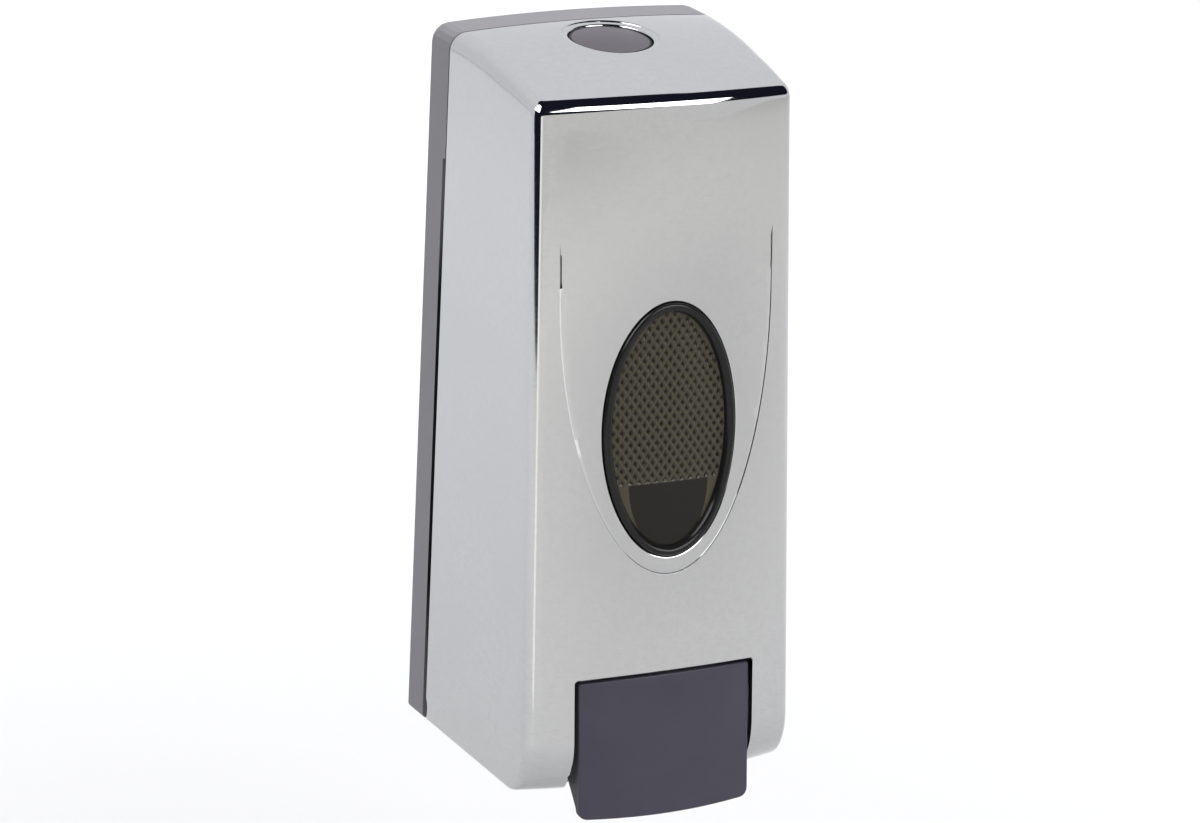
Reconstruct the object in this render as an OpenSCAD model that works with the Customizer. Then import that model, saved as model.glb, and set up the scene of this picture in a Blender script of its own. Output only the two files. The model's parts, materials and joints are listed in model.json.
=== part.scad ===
// Wall soap dispenser with a hinged chrome cover, a push lever and a piston pump.
// Sizes are in millimetres. Y runs into the wall, Z is up, the front faces -Y.
// The origin is the centre of the wall screws, on the wall's surface.
// The modules below measure heights from the foot of the case.

/* [Case] */
// Width across the back plate
case_w = 88; // [84:1:96]
// Height of the case at its sides
case_h = 215; // [208:1:228]
// Depth from the wall to the foot of the front, on the centre line
case_d = 89; // [87:1:95]
// Lean of the front from upright, in degrees
front_lean = 4.95; // [4:0.05:5.6]
// Bulge of the front across its width
front_crown = 6.6; // [5:0.2:7.4]
// Fall of the top from the wall to its front edge
top_drop = 9; // [7:0.5:11]
// Rise of the top across its width
top_arch = 1.5; // [0.8:0.1:2.2]
// Narrowing of each side at the top of the front
side_taper = 2.4; // [1:0.2:3]
// Wall of the cover
cover_wall = 2.4; // [2:0.1:2.8]
// Depth of the back plate's rim
plate_d = 12; // [11:0.5:13]

/* [Window] */
// Width of the oval lens
window_w = 43; // [38:1:46]
// Height of the oval lens
window_h = 75.6; // [66:1:80]
// Height of the lens centre, as a share of the case height
window_place = 0.511; // [0.49:0.005:0.53]
// Width of the lens rim
lens_rim = 3; // [2:0.2:4]
// Thickness of the lens pane
lens_pane = 2.4; // [1.8:0.2:3]

/* [Lever] */
// Width of the lever
lever_w = 56.2; // [50:0.2:60]
// Height of the lever's top edge above the foot of the case
lever_top = 35.5; // [33:0.5:38]
// Reach of the lever below the foot of the case
lever_drop = 6.5; // [3:0.5:9]
// Thickness of the lever's face
lever_wall = 2.6; // [2:0.2:3.2]
// Play between the lever's top edge and its cut-out
lever_gap = 1; // [0.8:0.1:1.4]

/* [Pump] */
// Bore of the pump barrel
bore_d = 16; // [14:0.5:17]
// Thickness of the barrel wall
barrel_wall = 2.8; // [2.2:0.2:3.2]
// Diameter of the piston rod
rod_d = 10; // [8:0.5:11]
// Turns of the pump spring
pump_turns = 6; // [5:1:7]

/* [Button] */
// Diameter of the latch button
button_d = 24.6; // [22:0.2:26]
// Travel of the latch button
button_travel = 4.5; // [4:0.1:4.8]
// Turns of the button spring
button_turns = 4; // [3:1:4]

/* [Wall fixing] */
// Screw spacing across
screw_x = 52; // [44:1:58]
// Screw spacing upright
screw_z = 100; // [90:1:108]
// Screw hole diameter
screw_d = 5; // [4:0.1:6]

/* [Hidden] */
$fn = 64;
chrome = [0.80, 0.81, 0.83];
grey = [0.50, 0.49, 0.52];
slate = [0.29, 0.28, 0.32];
smoke = [0.16, 0.15, 0.14];
steel = [0.70, 0.71, 0.73];
rubber = [0.12, 0.12, 0.13];
milk = [0.86, 0.87, 0.84];
white = [0.90, 0.90, 0.88];

// Running clearance of a pin or rod, and the play between bodies that pass each other
run = 0.06;
play = 0.3;
mount_h = 0.535 * case_h;

// Cover form
lean_k = tan(front_lean);
crown_r = (case_w * case_w / 4 + front_crown * front_crown) / (2 * front_crown);
foot_h = 18;
foot_d = 13;
brow_r = 4.8;
edge_foot = 1.5;
edge_front = 2.6;
edge_brow = 3.5;
edge_top = 5;
brow_h = case_h + top_arch - top_drop;
brow_d = case_d - lean_k * brow_h;
top_r = (brow_d - plate_d) * (brow_d - plate_d) / (2 * top_drop);
brow_slope = atan((brow_d - plate_d) / top_r);
cover_gap = 0.6;
cover_rear = plate_d + cover_gap;

// Hinge of the cover
hinge_y = -7.5;
hinge_h = 4;
hinge_pin_r = 1.5;
ear_r = 3.5;
ear_t = 3.3;
rim_t = cover_wall;
relief_r = norm([plate_d + hinge_y, hinge_h]) + 0.15;
ear_x = case_w / 2 - rim_t - 0.7 - ear_t;

// Window frame
window_y = -(case_d - lean_k * window_place * case_h);
window_z = window_place * case_h;
lens_proud = 0.8;
lens_sink = 1.4;
lens_back = lens_sink + lens_pane;
lens_lip = 3;
lens_lip_front = cover_wall + 0.1;
retainer_t = 2;
lens_screw_x = (window_w / 2 + lens_lip + 3.2) * cos(50);
lens_screw_z = (window_h / 2 + lens_lip + 3.2) * sin(50);

// Lever
pivot_y = -(case_d - 14);
pivot_h = lever_top - 4.5;
lever_pin_r = 1.5;
lever_lean = 5.6;
lever_r = 140;
lever_arch = 0.8;
lever_bow = 0.45;
lever_corner = 2.6;
cut_w = lever_w + 2 * (lever_gap + play);
cut_top = lever_top + lever_gap;
lever_face_top = case_d - lean_k * lever_top - 0.4;
bracket_t = 3;
bracket_x = cut_w / 2 + 1;

// Pump
pump_h = pivot_h - 17;
bore_r = bore_d / 2;
barrel_r = bore_r + barrel_wall;
barrel_front = pivot_y + 13;
chamber_end = barrel_front + 24;
barrel_rear = chamber_end + 3;
port_y = chamber_end - 5;
rod_r = rod_d / 2;
head_front = barrel_front + play;
head_rear = head_front + 6.7;
cap_front = pivot_y + play;
cap_rear = cap_front + 3;
gland_t = 3;
socket_floor = pump_h + 17;
socket_top = socket_floor + 8;
socket_r = 9.5;
ball_r = 3.2;
inlet_r = 2.4;
ball_floor = pump_h + bore_r + 2;
ball_rest = ball_floor + sqrt(ball_r * ball_r - inlet_r * inlet_r) + 0.03;
spigot_r = 5.5;
spigot_h = pump_h - barrel_r - 3.2;
foot_x = 17;

// Tank
tank_w = case_w - 2 * cover_wall - 10.2;
tank_rear = 9;
tank_floor = socket_top + 7;
tank_top = case_h - 37;
tank_wall = 1.8;
tank_gap = 13;
neck_r = 7.5;
neck_bottom = socket_floor + 2.5;
mouth_y = -34;
mouth_r = 15;
mouth_bore = 12.5;
mouth_top = tank_top + 6;
cap_t = 2.1;
gasket_t = 0.8;
cap_top = mouth_top + gasket_t + 0.1 + cap_t;
cap_wall = 2.7;

// Button, measured down from the cover's top along its own axis
button_back = 17;
button_y = plate_d + button_back;
button_z = case_h + top_arch - button_back * button_back / (2 * top_r);
button_tilt = atan(button_back / top_r);
button_r = button_d / 2;
flange_r = button_r + 1.7;
flange_top = -3.4;
flange_low = flange_top - 1.6;
cage_r = flange_r + 0.4;
cage_wall = 1.6;
cage_floor = flange_low - button_travel - 4.9;
cage_low = cage_floor - 1.6;
stem_r = 4;
strip_top = cage_low - 1.2;
strip_t = 1.2;
hook_top = cage_low - 0.6;
arm_top = strip_top - strip_t - 0.6;
arm_t = 3;
arm_low = arm_top - arm_t;
cage_post_r = 2.8;
cage_post_x = cage_r + cage_wall + cage_post_r + 0.2;
keeper_x = 7;
keeper_front = 6.6;
keeper_l = 17.4;
bracket_front = keeper_front + 8.9;
bracket_h = 6;
keeper_screw_y = keeper_front + 14.9;

// Heights inside the modules start at the foot of the case
module in_case() {
    translate([0, 0, -mount_h]) children();
}

// Flat shape in (y, height), thick along X
module along_x(x0, t) {
    translate([x0, 0, 0]) rotate([90, 0, 90]) linear_extrude(t) children();
}

// Flat shape in (x, height), thick towards the front
module along_y(y0, t) {
    translate([0, y0, 0]) rotate([90, 0, 0]) linear_extrude(t) children();
}

module pin_x(x0, t, y, h, r) {
    translate([x0, y, h]) rotate([0, 90, 0]) cylinder(r = r, h = t);
}

module pin_y(x, y0, h, t, r) {
    translate([x, y0, h]) rotate([90, 0, 0]) cylinder(r = r, h = t);
}

module both_sides() {
    children();
    mirror([1, 0, 0]) children();
}

// Round profile given as (radius, depth), turned about an axis along Y
module turned_y(h) {
    translate([0, 0, h]) rotate([90, 0, 0]) rotate_extrude() children();
}

// Sag of the bulged front at a distance from the centre line
function sag(x) = crown_r - sqrt(crown_r * crown_r - x * x);

// Half width of the cover at a depth and a height
function half_w(d, h) =
    case_w / 2 - side_taper * (h / case_h) * max(0, min(1, (d - plate_d) / (brow_d - plate_d)));

function foot_point(a) =
    let (h = foot_h * (1 - cos(a)))
    [case_d - lean_k * h - foot_d * (1 - sin(a)), h];

function top_point(d) = [d, case_h + top_arch - pow(max(0, d - plate_d), 2) / (2 * top_r)];

// Side profile on the centre line: depth, height, share of the bulge, edge radius
normal_a = [cos(front_lean), sin(front_lean)];
normal_b = [sin(brow_slope), cos(brow_slope)];
brow_c = [brow_d, brow_h] - brow_r * (normal_a + normal_b) / (1 + normal_a * normal_b);
brow_start = brow_c + brow_r * normal_a;
brow_end = brow_c + brow_r * normal_b;
foot_end = case_d - foot_d;
function profile(rear) = concat(
    [for (i = [0:2]) let (s = i / 3) [rear + s * (foot_end - rear), 0, s, edge_foot]],
    [for (i = [0:8])
        let (p = foot_point(i * 90 / 8))
        [p[0], p[1], 1, edge_foot + (edge_front - edge_foot) * i / 8]],
    [for (i = [1:5])
        let (h = foot_h + (brow_start[1] - foot_h) * i / 6)
        [case_d - lean_k * h, h, 1, edge_front]],
    [for (i = [0:5])
        let (a = front_lean + (90 - brow_slope - front_lean) * i / 5)
        [brow_c[0] + brow_r * cos(a), brow_c[1] + brow_r * sin(a), 1,
         edge_front + (edge_brow - edge_front) * i / 5]],
    [for (i = [1:8])
        let (s = i / 8, p = top_point(brow_end[0] + s * (rear - brow_end[0])))
        [p[0], p[1], 1 - s, edge_brow + (edge_top - edge_brow) * min(1, 3 * s)]]);

// Outward direction of the profile at one of its points
function profile_normal(p, i) =
    i == 0 ? [0, -1] :
    i == len(p) - 1 ? [0, 1] :
    let (t = [p[i + 1][0] - p[i - 1][0], p[i + 1][1] - p[i - 1][1]])
    [t[1], -t[0]] / norm(t);

edge_steps = 4;
crown_steps = 10;
row = 2 * edge_steps + crown_steps + 1;

// Place and edge inset of the points across one row
function across(w, r) = concat(
    [for (j = [0:edge_steps]) let (a = 90 * j / edge_steps) [-(w - r + r * cos(a)), r * (1 - sin(a))]],
    [for (j = [1:crown_steps - 1]) [(w - r) * (2 * j / crown_steps - 1), 0]],
    [for (j = [edge_steps:-1:0]) let (a = 90 * j / edge_steps) [w - r + r * cos(a), r * (1 - sin(a))]]);

function row_points(p, i, inset) =
    let (d = p[i][0], h = p[i][1], n = profile_normal(p, i))
    let (w = half_w(d, h) - inset, r = max(0.8, p[i][3] - inset))
    [for (q = across(w, r))
        [q[0],
         -(d - p[i][2] * sag(q[0]) - (inset + q[1]) * n[0]),
         h - top_arch * (h / case_h) * pow(2 * q[0] / case_w, 2) - (inset + q[1]) * n[1]]];

// Rounded body of the cover, set in by a wall, from the front back to a depth
module cover_form(inset, rear) {
    p = profile(rear);
    n = len(p);
    mid_d = (rear + brow_d) / 2;
    mid_h = case_h / 2;
    mid_x = half_w(mid_d, mid_h) - inset;
    points = concat(
        [for (i = [0:n - 1]) each row_points(p, i, inset)],
        [[-mid_x, -mid_d, mid_h], [mid_x, -mid_d, mid_h]]);
    skin = [for (i = [0:n - 2]) for (j = [0:row - 2]) each [
        [i * row + j, (i + 1) * row + j, (i + 1) * row + j + 1],
        [i * row + j, (i + 1) * row + j + 1, i * row + j + 1]]];
    left = concat(
        [for (i = [0:n - 2]) [n * row, (i + 1) * row, i * row]],
        [[n * row, 0, (n - 1) * row]]);
    right = concat(
        [for (i = [0:n - 2]) [n * row + 1, i * row + row - 1, (i + 1) * row + row - 1]],
        [[n * row + 1, (n - 1) * row + row - 1, row - 1]]);
    back = [concat([for (j = [0:row - 1]) j], [for (j = [row - 1:-1:0]) (n - 1) * row + j])];
    polyhedron(points = points, faces = concat(skin, left, right, back), convexity = 4);
}

// Outline of the case at the wall, set in by a distance
module rear_outline(inset) {
    p = profile(plate_d);
    bottom = row_points(p, 0, inset);
    top = row_points(p, len(p) - 1, inset);
    polygon(concat(
        [for (q = bottom) [q[0], q[2]]],
        [for (j = [row - 1:-1:0]) [top[j][0], top[j][2]]]));
}

// Frame on the front face at the window's centre, leaning with the face
module at_window() {
    translate([0, window_y, window_z]) rotate([-front_lean, 0, 0]) children();
}

// Slab between two depths below the bulged face, in the window's frame
module face_slab(a, b) {
    translate([0, crown_r, -case_h]) difference() {
        cylinder(r = crown_r - a, h = 2 * case_h, $fn = 720);
        translate([0, 0, -1]) cylinder(r = crown_r - b, h = 2 * case_h + 2, $fn = 720);
    }
}

// Oval bar through the front, in the window's frame
module oval_bar(rx, rz, t) {
    steps = 80;
    rotate([90, 0, 0]) linear_extrude(2 * t, center = true)
        polygon([for (i = [0:steps - 1]) [rx * cos(360 * i / steps), rz * sin(360 * i / steps)]]);
}

module oval_slab(rx, rz, a, b) {
    intersection() {
        face_slab(a, b);
        oval_bar(rx, rz, 20);
    }
}

module at_button() {
    translate([0, -button_y, button_z]) rotate([button_tilt, 0, 0]) children();
}

// Coil of round wire standing on z = 0: one unbroken tube
function coil_point(r, wire, length, turns, i, rings) =
    let (a = 360 * turns * i / rings)
    [r * cos(a), r * sin(a), wire + (length - 2 * wire) * i / rings];
module coil(r, wire, length, turns) {
    rings = turns * 12;
    sides = 6;
    slope = atan((length - 2 * wire) / (2 * PI * r * turns));
    points = [for (i = [0:rings]) for (s = [0:sides - 1])
        let (c = coil_point(r, wire, length, turns, i, rings))
        let (a = 360 * turns * i / rings, b = 360 * s / sides)
        let (out = wire * cos(b), up = wire * sin(b))
        [c[0] + out * cos(a) + up * sin(slope) * sin(a),
         c[1] + out * sin(a) - up * sin(slope) * cos(a),
         c[2] + up * cos(slope)]];
    skin = [for (i = [0:rings - 1]) for (s = [0:sides - 1]) each [
        [i * sides + s, i * sides + (s + 1) % sides, (i + 1) * sides + (s + 1) % sides],
        [i * sides + s, (i + 1) * sides + (s + 1) % sides, (i + 1) * sides + s]]];
    ends = [[for (s = [sides - 1:-1:0]) s], [for (s = [0:sides - 1]) rings * sides + s]];
    gap = (length - 2 * wire) / turns - 2 * wire / cos(slope);
    echo(coil_least_gap = gap);
    polyhedron(points = points, faces = concat(skin, ends), convexity = 6);
}

module plate_bosses() {
    for (x = [-screw_x / 2, screw_x / 2]) for (z = [-screw_z / 2, screw_z / 2])
        pin_y(x, -2.5, mount_h + z, 2.5, 7);
    for (x = [-foot_x, foot_x]) pin_y(x, -2.5, pump_h, 3.5, 4.5);
}

module plate_ribs() {
    rib_low = tank_floor + 4;
    for (x = [-case_w * 0.17, case_w * 0.17])
        translate([x - 0.8, -6, rib_low]) cube([1.6, 3.5, tank_top - rib_low - 4]);
    for (s = [0.2, 0.5, 0.8])
        translate([-case_w / 2 + 3, -6, rib_low + s * (tank_top - rib_low) - 0.8])
            cube([case_w - 6, 3.5, 1.6]);
}

// Shelf that the tank stands on, and the tongue over its top
module plate_cradle() {
    shelf_x = 16;
    shelf_w = tank_w / 2 - shelf_x - 3;
    both_sides() {
        translate([shelf_x, -40, tank_floor - 3]) cube([shelf_w, 37.5, 3]);
        along_x(shelf_x, 2.4) polygon([[-2.5, tank_floor - 24], [-2.5, tank_floor - 2], [-38, tank_floor - 2],
                                       [-38, tank_floor - 4]]);
        translate([shelf_x + 4, -16, tank_top]) cube([10, 13.5, 2.4]);
    }
}

module plate_hinge_lugs() {
    both_sides() along_x(ear_x - 0.4 - 3, 3) union() {
        translate([hinge_y, hinge_h]) circle(r = ear_r);
        translate([hinge_y, hinge_h - ear_r]) square([-hinge_y - 2, 2 * ear_r]);
    }
}

module keeper_bracket() {
    at_button() translate([-keeper_x - 2, bracket_front, strip_top - strip_t - bracket_h - 0.02])
        cube([2 * keeper_x + 4, button_y - bracket_front - 2, bracket_h]);
}

module back_plate() {
    lip = cover_wall + 0.4;
    lip_t = 1.6;
    shadow_d = 1.4;
    shadow_w = 1.6;
    shadow_h = 178;
    slot_h = hinge_h + ear_r + 8.5;
    color(grey) in_case() difference() {
        union() {
            along_y(0, 3) rear_outline(0);
            along_y(-2, plate_d - 2) difference() {
                rear_outline(0);
                rear_outline(lip + lip_t);
            }
            along_y(-plate_d + 1, 5) difference() {
                rear_outline(lip);
                rear_outline(lip + lip_t);
            }
            plate_bosses();
            plate_ribs();
            plate_cradle();
            plate_hinge_lugs();
            keeper_bracket();
        }
        // Room for the cover's ears, and the open foot
        both_sides() translate([ear_x - 0.4, -plate_d - 6, -1])
            cube([case_w / 2 - rim_t - ear_x + 0.4, plate_d + 3, slot_h]);
        translate([-ear_x + 3.4, -plate_d - 6, -1]) cube([2 * ear_x - 6.8, plate_d + 3, 6]);
        both_sides() translate([ear_x - 4, -plate_d - 6, -1]) cube([rim_t + ear_t + 9, 6, slot_h]);
        // Shadow line between the plate and the cover, along both sides
        both_sides() translate([case_w / 2 - shadow_d, -plate_d - 1, -1])
            cube([shadow_d + 2, shadow_w + 1, shadow_h]);
        // Room for the button cage
        translate([-cage_post_x - 5, -plate_d - 6, case_h - 12]) cube([2 * cage_post_x + 10, 6, 16]);
        for (x = [-screw_x / 2, screw_x / 2]) for (z = [-screw_z / 2, screw_z / 2])
            pin_y(x, 1, mount_h + z, 12, screw_d / 2);
        for (x = [-foot_x, foot_x]) pin_y(x, -1.2, pump_h, 8, 1.6);
        both_sides() pin_x(ear_x - 5, case_w / 2 - ear_x + 4, hinge_y, hinge_h, hinge_pin_r);
        at_button() translate([0, keeper_screw_y, strip_top - strip_t - 5]) cylinder(r = 1.2, h = 8);
    }
}

module hinge_pins() {
    color(steel) in_case() both_sides()
        pin_x(ear_x - 3.2, case_w / 2 - 1 - ear_x + 3.2, hinge_y, hinge_h, hinge_pin_r);
}

module keeper_strip() {
    color(steel) in_case() at_button() translate([0, 0, strip_top - strip_t]) difference() {
        translate([-keeper_x, keeper_front, 0]) cube([2 * keeper_x, keeper_l, strip_t]);
        translate([-keeper_x + 2.5, keeper_front + 3, -1]) cube([2 * keeper_x - 5, 4.4, strip_t + 2]);
        translate([0, keeper_screw_y, -1]) cylinder(r = 1.4, h = strip_t + 2);
    }
}

module keeper_screw() {
    color(steel) in_case() at_button() translate([0, keeper_screw_y, strip_top]) {
        cylinder(r = 2.4, h = 1.5);
        translate([0, 0, -strip_t - 4.5]) cylinder(r = 1.2, h = strip_t + 5);
    }
}

// Body of the tank, set in by a wall
module tank_form(i) {
    front = case_d - tank_gap;
    corner = 14;
    w = tank_w / 2 - i;
    r = corner - i;
    intersection() {
        rotate([-front_lean, 0, 0]) linear_extrude(2 * case_h, center = true) union() {
            translate([-w, -front + i + r]) square([2 * w, front]);
            translate([-w + r, -front + i]) square([2 * w - 2 * r, front]);
            for (s = [-1, 1]) translate([s * (w - r), -front + i + r]) circle(r = r);
        }
        along_x(-case_w, 2 * case_w) polygon([
            [-tank_rear - i, tank_floor + i + 4], [-tank_rear - i - 4, tank_floor + i],
            [-case_d, tank_floor + i], [-case_d, tank_top - i],
            [-tank_rear - i - 6, tank_top - i], [-tank_rear - i, tank_top - i - 6]]);
    }
}

module tank() {
    color(milk) in_case() difference() {
        union() {
            tank_form(0);
            translate([0, port_y, neck_bottom]) cylinder(r = neck_r, h = tank_floor - neck_bottom + 1);
            translate([0, mouth_y, tank_top - 1]) cylinder(r = mouth_r, h = mouth_top - tank_top + 1);
        }
        tank_form(tank_wall);
        translate([0, port_y, neck_bottom - 1]) cylinder(r = 5, h = tank_floor - neck_bottom + 8);
        translate([0, mouth_y, tank_top - 6]) cylinder(r = mouth_bore, h = 20);
    }
}

module outlet_grommet() {
    color(rubber) in_case() translate([0, port_y, 0]) rotate_extrude() polygon([
        [neck_r + 0.02, neck_bottom + 0.2], [socket_r, neck_bottom + 0.2], [socket_r, socket_top],
        [socket_r + 2, socket_top], [socket_r + 2, socket_top + 1.5], [neck_r + 0.02, socket_top + 1.5]]);
}

module pump_body() {
    color(white) in_case() difference() {
        union() {
            pin_y(0, barrel_rear, pump_h, barrel_rear - barrel_front, barrel_r);
            translate([0, port_y, pump_h]) cylinder(r = socket_r + 2, h = socket_top - pump_h);
            translate([0, port_y, spigot_h]) cylinder(r = spigot_r, h = pump_h - spigot_h);
            // Foot and its web
            translate([-foot_x - 6, -9, pump_h - 8]) cube([2 * foot_x + 12, 3, 16]);
            translate([-6, barrel_rear - 1, pump_h - 7]) cube([12, -barrel_rear - 7 + 1, 14]);
            both_sides() foot_gusset();
        }
        pin_y(0, chamber_end, pump_h, 60, bore_r);
        translate([0, port_y, socket_floor]) cylinder(r = socket_r, h = 20);
        translate([0, port_y, ball_floor]) cylinder(r = ball_r + 1, h = 20);
        translate([0, port_y, pump_h]) cylinder(r = inlet_r, h = 20);
        for (a = [0, 90]) translate([0, port_y, pump_h + bore_r - 1]) rotate([0, 0, a])
            translate([-ball_r - 0.6, -0.6, 0]) cube([2 * ball_r + 1.2, 1.2, 4]);
        translate([0, port_y, spigot_h - 1]) cylinder(r = 2.5, h = pump_h - spigot_h + 1);
        for (x = [-foot_x, foot_x]) pin_y(x, -5, pump_h, 5, 1.7);
    }
}

// Gusset between the pump's web and its foot
module foot_gusset() {
    translate([0, 0, pump_h - 1.2]) linear_extrude(2.4) polygon([
        [5, -8.5], [foot_x - 4, -8.5], [5, barrel_rear + 2]]);
}

module pump_screws() {
    color(steel) in_case() for (x = [-foot_x, foot_x]) {
        pin_y(x, -9, pump_h, 2.2, 3.2);
        pin_y(x, -1.4, pump_h, 8, 1.6);
    }
}

module inlet_seat() {
    color(white) in_case() translate([0, port_y, socket_floor]) rotate_extrude() polygon([
        [2.5, 0], [socket_r, 0], [socket_r, 2.2], [3.4, 2.2], [2.5, 1.3]]);
}

module inlet_ball() {
    color(steel) in_case() translate([0, port_y, ball_rest]) sphere(r = ball_r);
}

module pump_gland() {
    color(grey) in_case() difference() {
        union() {
            pin_y(0, barrel_front, pump_h, gland_t, barrel_r + 1.6);
            pin_y(0, barrel_front + 6.8, pump_h, 7.3, barrel_r + 1.6);
        }
        pin_y(0, barrel_front + 9, pump_h, 9, barrel_r + 0.02);
        pin_y(0, barrel_front + 1, pump_h, 10, rod_r + run);
    }
}

module piston_rod() {
    groove_r = bore_r - 2;
    color(white) in_case() translate([0, head_rear, 0]) turned_y(pump_h) polygon([
        [0, -4], [4, -4], [4, 0], [bore_r - play, 0], [bore_r - play, 1.8], [groove_r, 1.8],
        [groove_r, 4.8], [bore_r - play, 4.8], [bore_r - play, head_rear - head_front],
        [rod_r, head_rear - head_front], [rod_r, head_rear - cap_rear], [3, head_rear - cap_rear],
        [3, head_rear - cap_rear + 2], [0, head_rear - cap_rear + 2]]);
}

module piston_seal() {
    groove_r = bore_r - 2;
    color(rubber) in_case() translate([0, head_rear, 0]) turned_y(pump_h) polygon([
        [groove_r, 1.9], [bore_r - 1.1, 1.9], [bore_r - 0.9, 2.8], [bore_r - 0.3, 1.9],
        [bore_r - run, 1.9], [bore_r - run, 3.2], [bore_r - 0.5, 4.7], [groove_r, 4.7]]);
}

module press_cap() {
    color(grey) in_case() translate([0, cap_rear, 0]) turned_y(pump_h) polygon([
        [3, 0], [rod_r + 1, 0], [rod_r + 1, 2.2], [rod_r + 0.2, 3], [0, 3], [0, 2], [3, 2]]);
}

module pump_spring() {
    color(steel) in_case() translate([0, chamber_end, pump_h]) rotate([90, 0, 0])
        coil(5.4, 0.55, chamber_end - head_rear, pump_turns);
}

module outlet_valve() {
    color(rubber) in_case() translate([0, port_y, spigot_h]) difference() {
        rotate_extrude() polygon([
            [0, -4.2], [1.2, -4.2], [3, -1.2], [spigot_r, -1.2], [spigot_r, 0], [1.6, 0], [1.6, -1], [0, -3.4]]);
        translate([-3, -0.1, -5]) cube([6, 0.2, 3]);
    }
}

module nozzle() {
    color(grey) in_case() translate([0, port_y, spigot_h]) rotate_extrude() polygon([
        [spigot_r + 0.02, 2.8], [spigot_r + 0.02, -1.2], [4, -1.2], [3.2, -5], [4.6, -5], [7, -1], [7, 2.8]]);
}

module cover_ears() {
    root = cover_rear + 10;
    both_sides() {
        along_x(ear_x, ear_t) union() {
            translate([hinge_y, hinge_h]) circle(r = ear_r);
            polygon([[hinge_y, hinge_h - ear_r], [hinge_y, hinge_h + ear_r],
                     [-cover_rear - 2, hinge_h + 7], [-root, hinge_h + 7], [-root, hinge_h - ear_r]]);
        }
        translate([ear_x, -root, hinge_h - ear_r])
            cube([case_w / 2 - rim_t - ear_x + 0.8, root - cover_rear - 0.4, ear_r + 7]);
    }
}

module lever_brackets() {
    front = case_d - lean_k * pivot_h;
    near = -(front - sag(bracket_x + bracket_t) - cover_wall + 0.4);
    both_sides() along_x(bracket_x, bracket_t) union() {
        translate([pivot_y, pivot_h]) circle(r = 4);
        polygon([[pivot_y, pivot_h - 4], [pivot_y, pivot_h + 4], [near, pivot_h + 5], [near, pivot_h - 5]]);
    }
}

module lens_posts() {
    at_window() for (x = [-lens_screw_x, lens_screw_x]) for (z = [-lens_screw_z, lens_screw_z])
        intersection() {
            face_slab(cover_wall / 2, lens_back);
            translate([x, 20, z]) rotate([90, 0, 0]) cylinder(r = 2.6, h = 30);
        }
}

module cage_posts() {
    at_button() both_sides() translate([cage_post_x, 0, -9]) cylinder(r = cage_post_r, h = 7.4);
}

// Line round the window: the lower half of a tall oval with straight arms
module face_line() {
    line_w = 1;
    line_d = 0.5;
    arm_x = case_w / 2 - 9;
    arm_z = 40;
    arm_l = 22;
    deep = window_z - 66;
    intersection() {
        face_slab(-8, line_d);
        union() {
            intersection() {
                translate([0, 0, arm_z]) difference() {
                    oval_bar(arm_x, deep + arm_z, 30);
                    oval_bar(arm_x - line_w, deep + arm_z - line_w, 40);
                }
                translate([-case_w, -60, -case_h]) cube([2 * case_w, 120, case_h + arm_z]);
            }
            both_sides() translate([arm_x - line_w, -30, arm_z - 0.5]) cube([line_w, 60, arm_l + 0.5]);
        }
    }
}

module front_cover() {
    color(chrome) in_case() difference() {
        union() {
            difference() {
                cover_form(0, cover_rear);
                cover_form(cover_wall, cover_rear - 4);
            }
            cover_ears();
            lever_brackets();
            lens_posts();
            cage_posts();
        }
        at_window() oval_bar(window_w / 2 + 0.2, window_h / 2 + 0.2, 20);
        at_window() face_line();
        along_y(-case_d + 30, 50)
            polygon(concat([[-cut_w / 2, -20], [cut_w / 2, -20]], arched(cut_w / 2, cut_top, lever_arch)));
        translate([-ear_x + 3, -foot_end + 4, -5]) cube([2 * ear_x - 6, foot_end - 4, 5 + cover_wall + 1]);
        at_button() translate([0, 0, -6]) cylinder(r = button_r + play, h = 12);
        at_button() translate([0, 0, -1.8]) cylinder(r1 = button_r + play, r2 = button_r + play + 2.6, h = 2.6);
        both_sides() pin_x(ear_x - 1, ear_t + 2, hinge_y, hinge_h, hinge_pin_r + run);
        // Room for the plate's rim as the cover swings
        both_sides() pin_x(ear_x - 4, 3.8, hinge_y, hinge_h, relief_r);
        both_sides() pin_x(case_w / 2 - rim_t - 0.2, rim_t + 2, hinge_y, hinge_h, relief_r);
        both_sides() pin_x(bracket_x - 1, bracket_t + 0.6, pivot_y, pivot_h, lever_pin_r);
        at_window() for (x = [-lens_screw_x, lens_screw_x]) for (z = [-lens_screw_z, lens_screw_z])
            translate([x, lens_back + 2, z]) rotate([90, 0, 0]) cylinder(r = 1, h = 3.6);
        at_button() both_sides() translate([cage_post_x, 0, -10]) cylinder(r = 1, h = 6);
    }
}

module window_lens() {
    rx = window_w / 2;
    rz = window_h / 2;
    color(smoke) in_case() at_window() difference() {
        union() {
            oval_slab(rx, rz, -lens_proud, lens_back);
            oval_slab(rx + lens_lip, rz + lens_lip, lens_lip_front, lens_back);
        }
        oval_slab(rx - lens_rim, rz - lens_rim, -4, lens_sink);
    }
}

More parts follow.
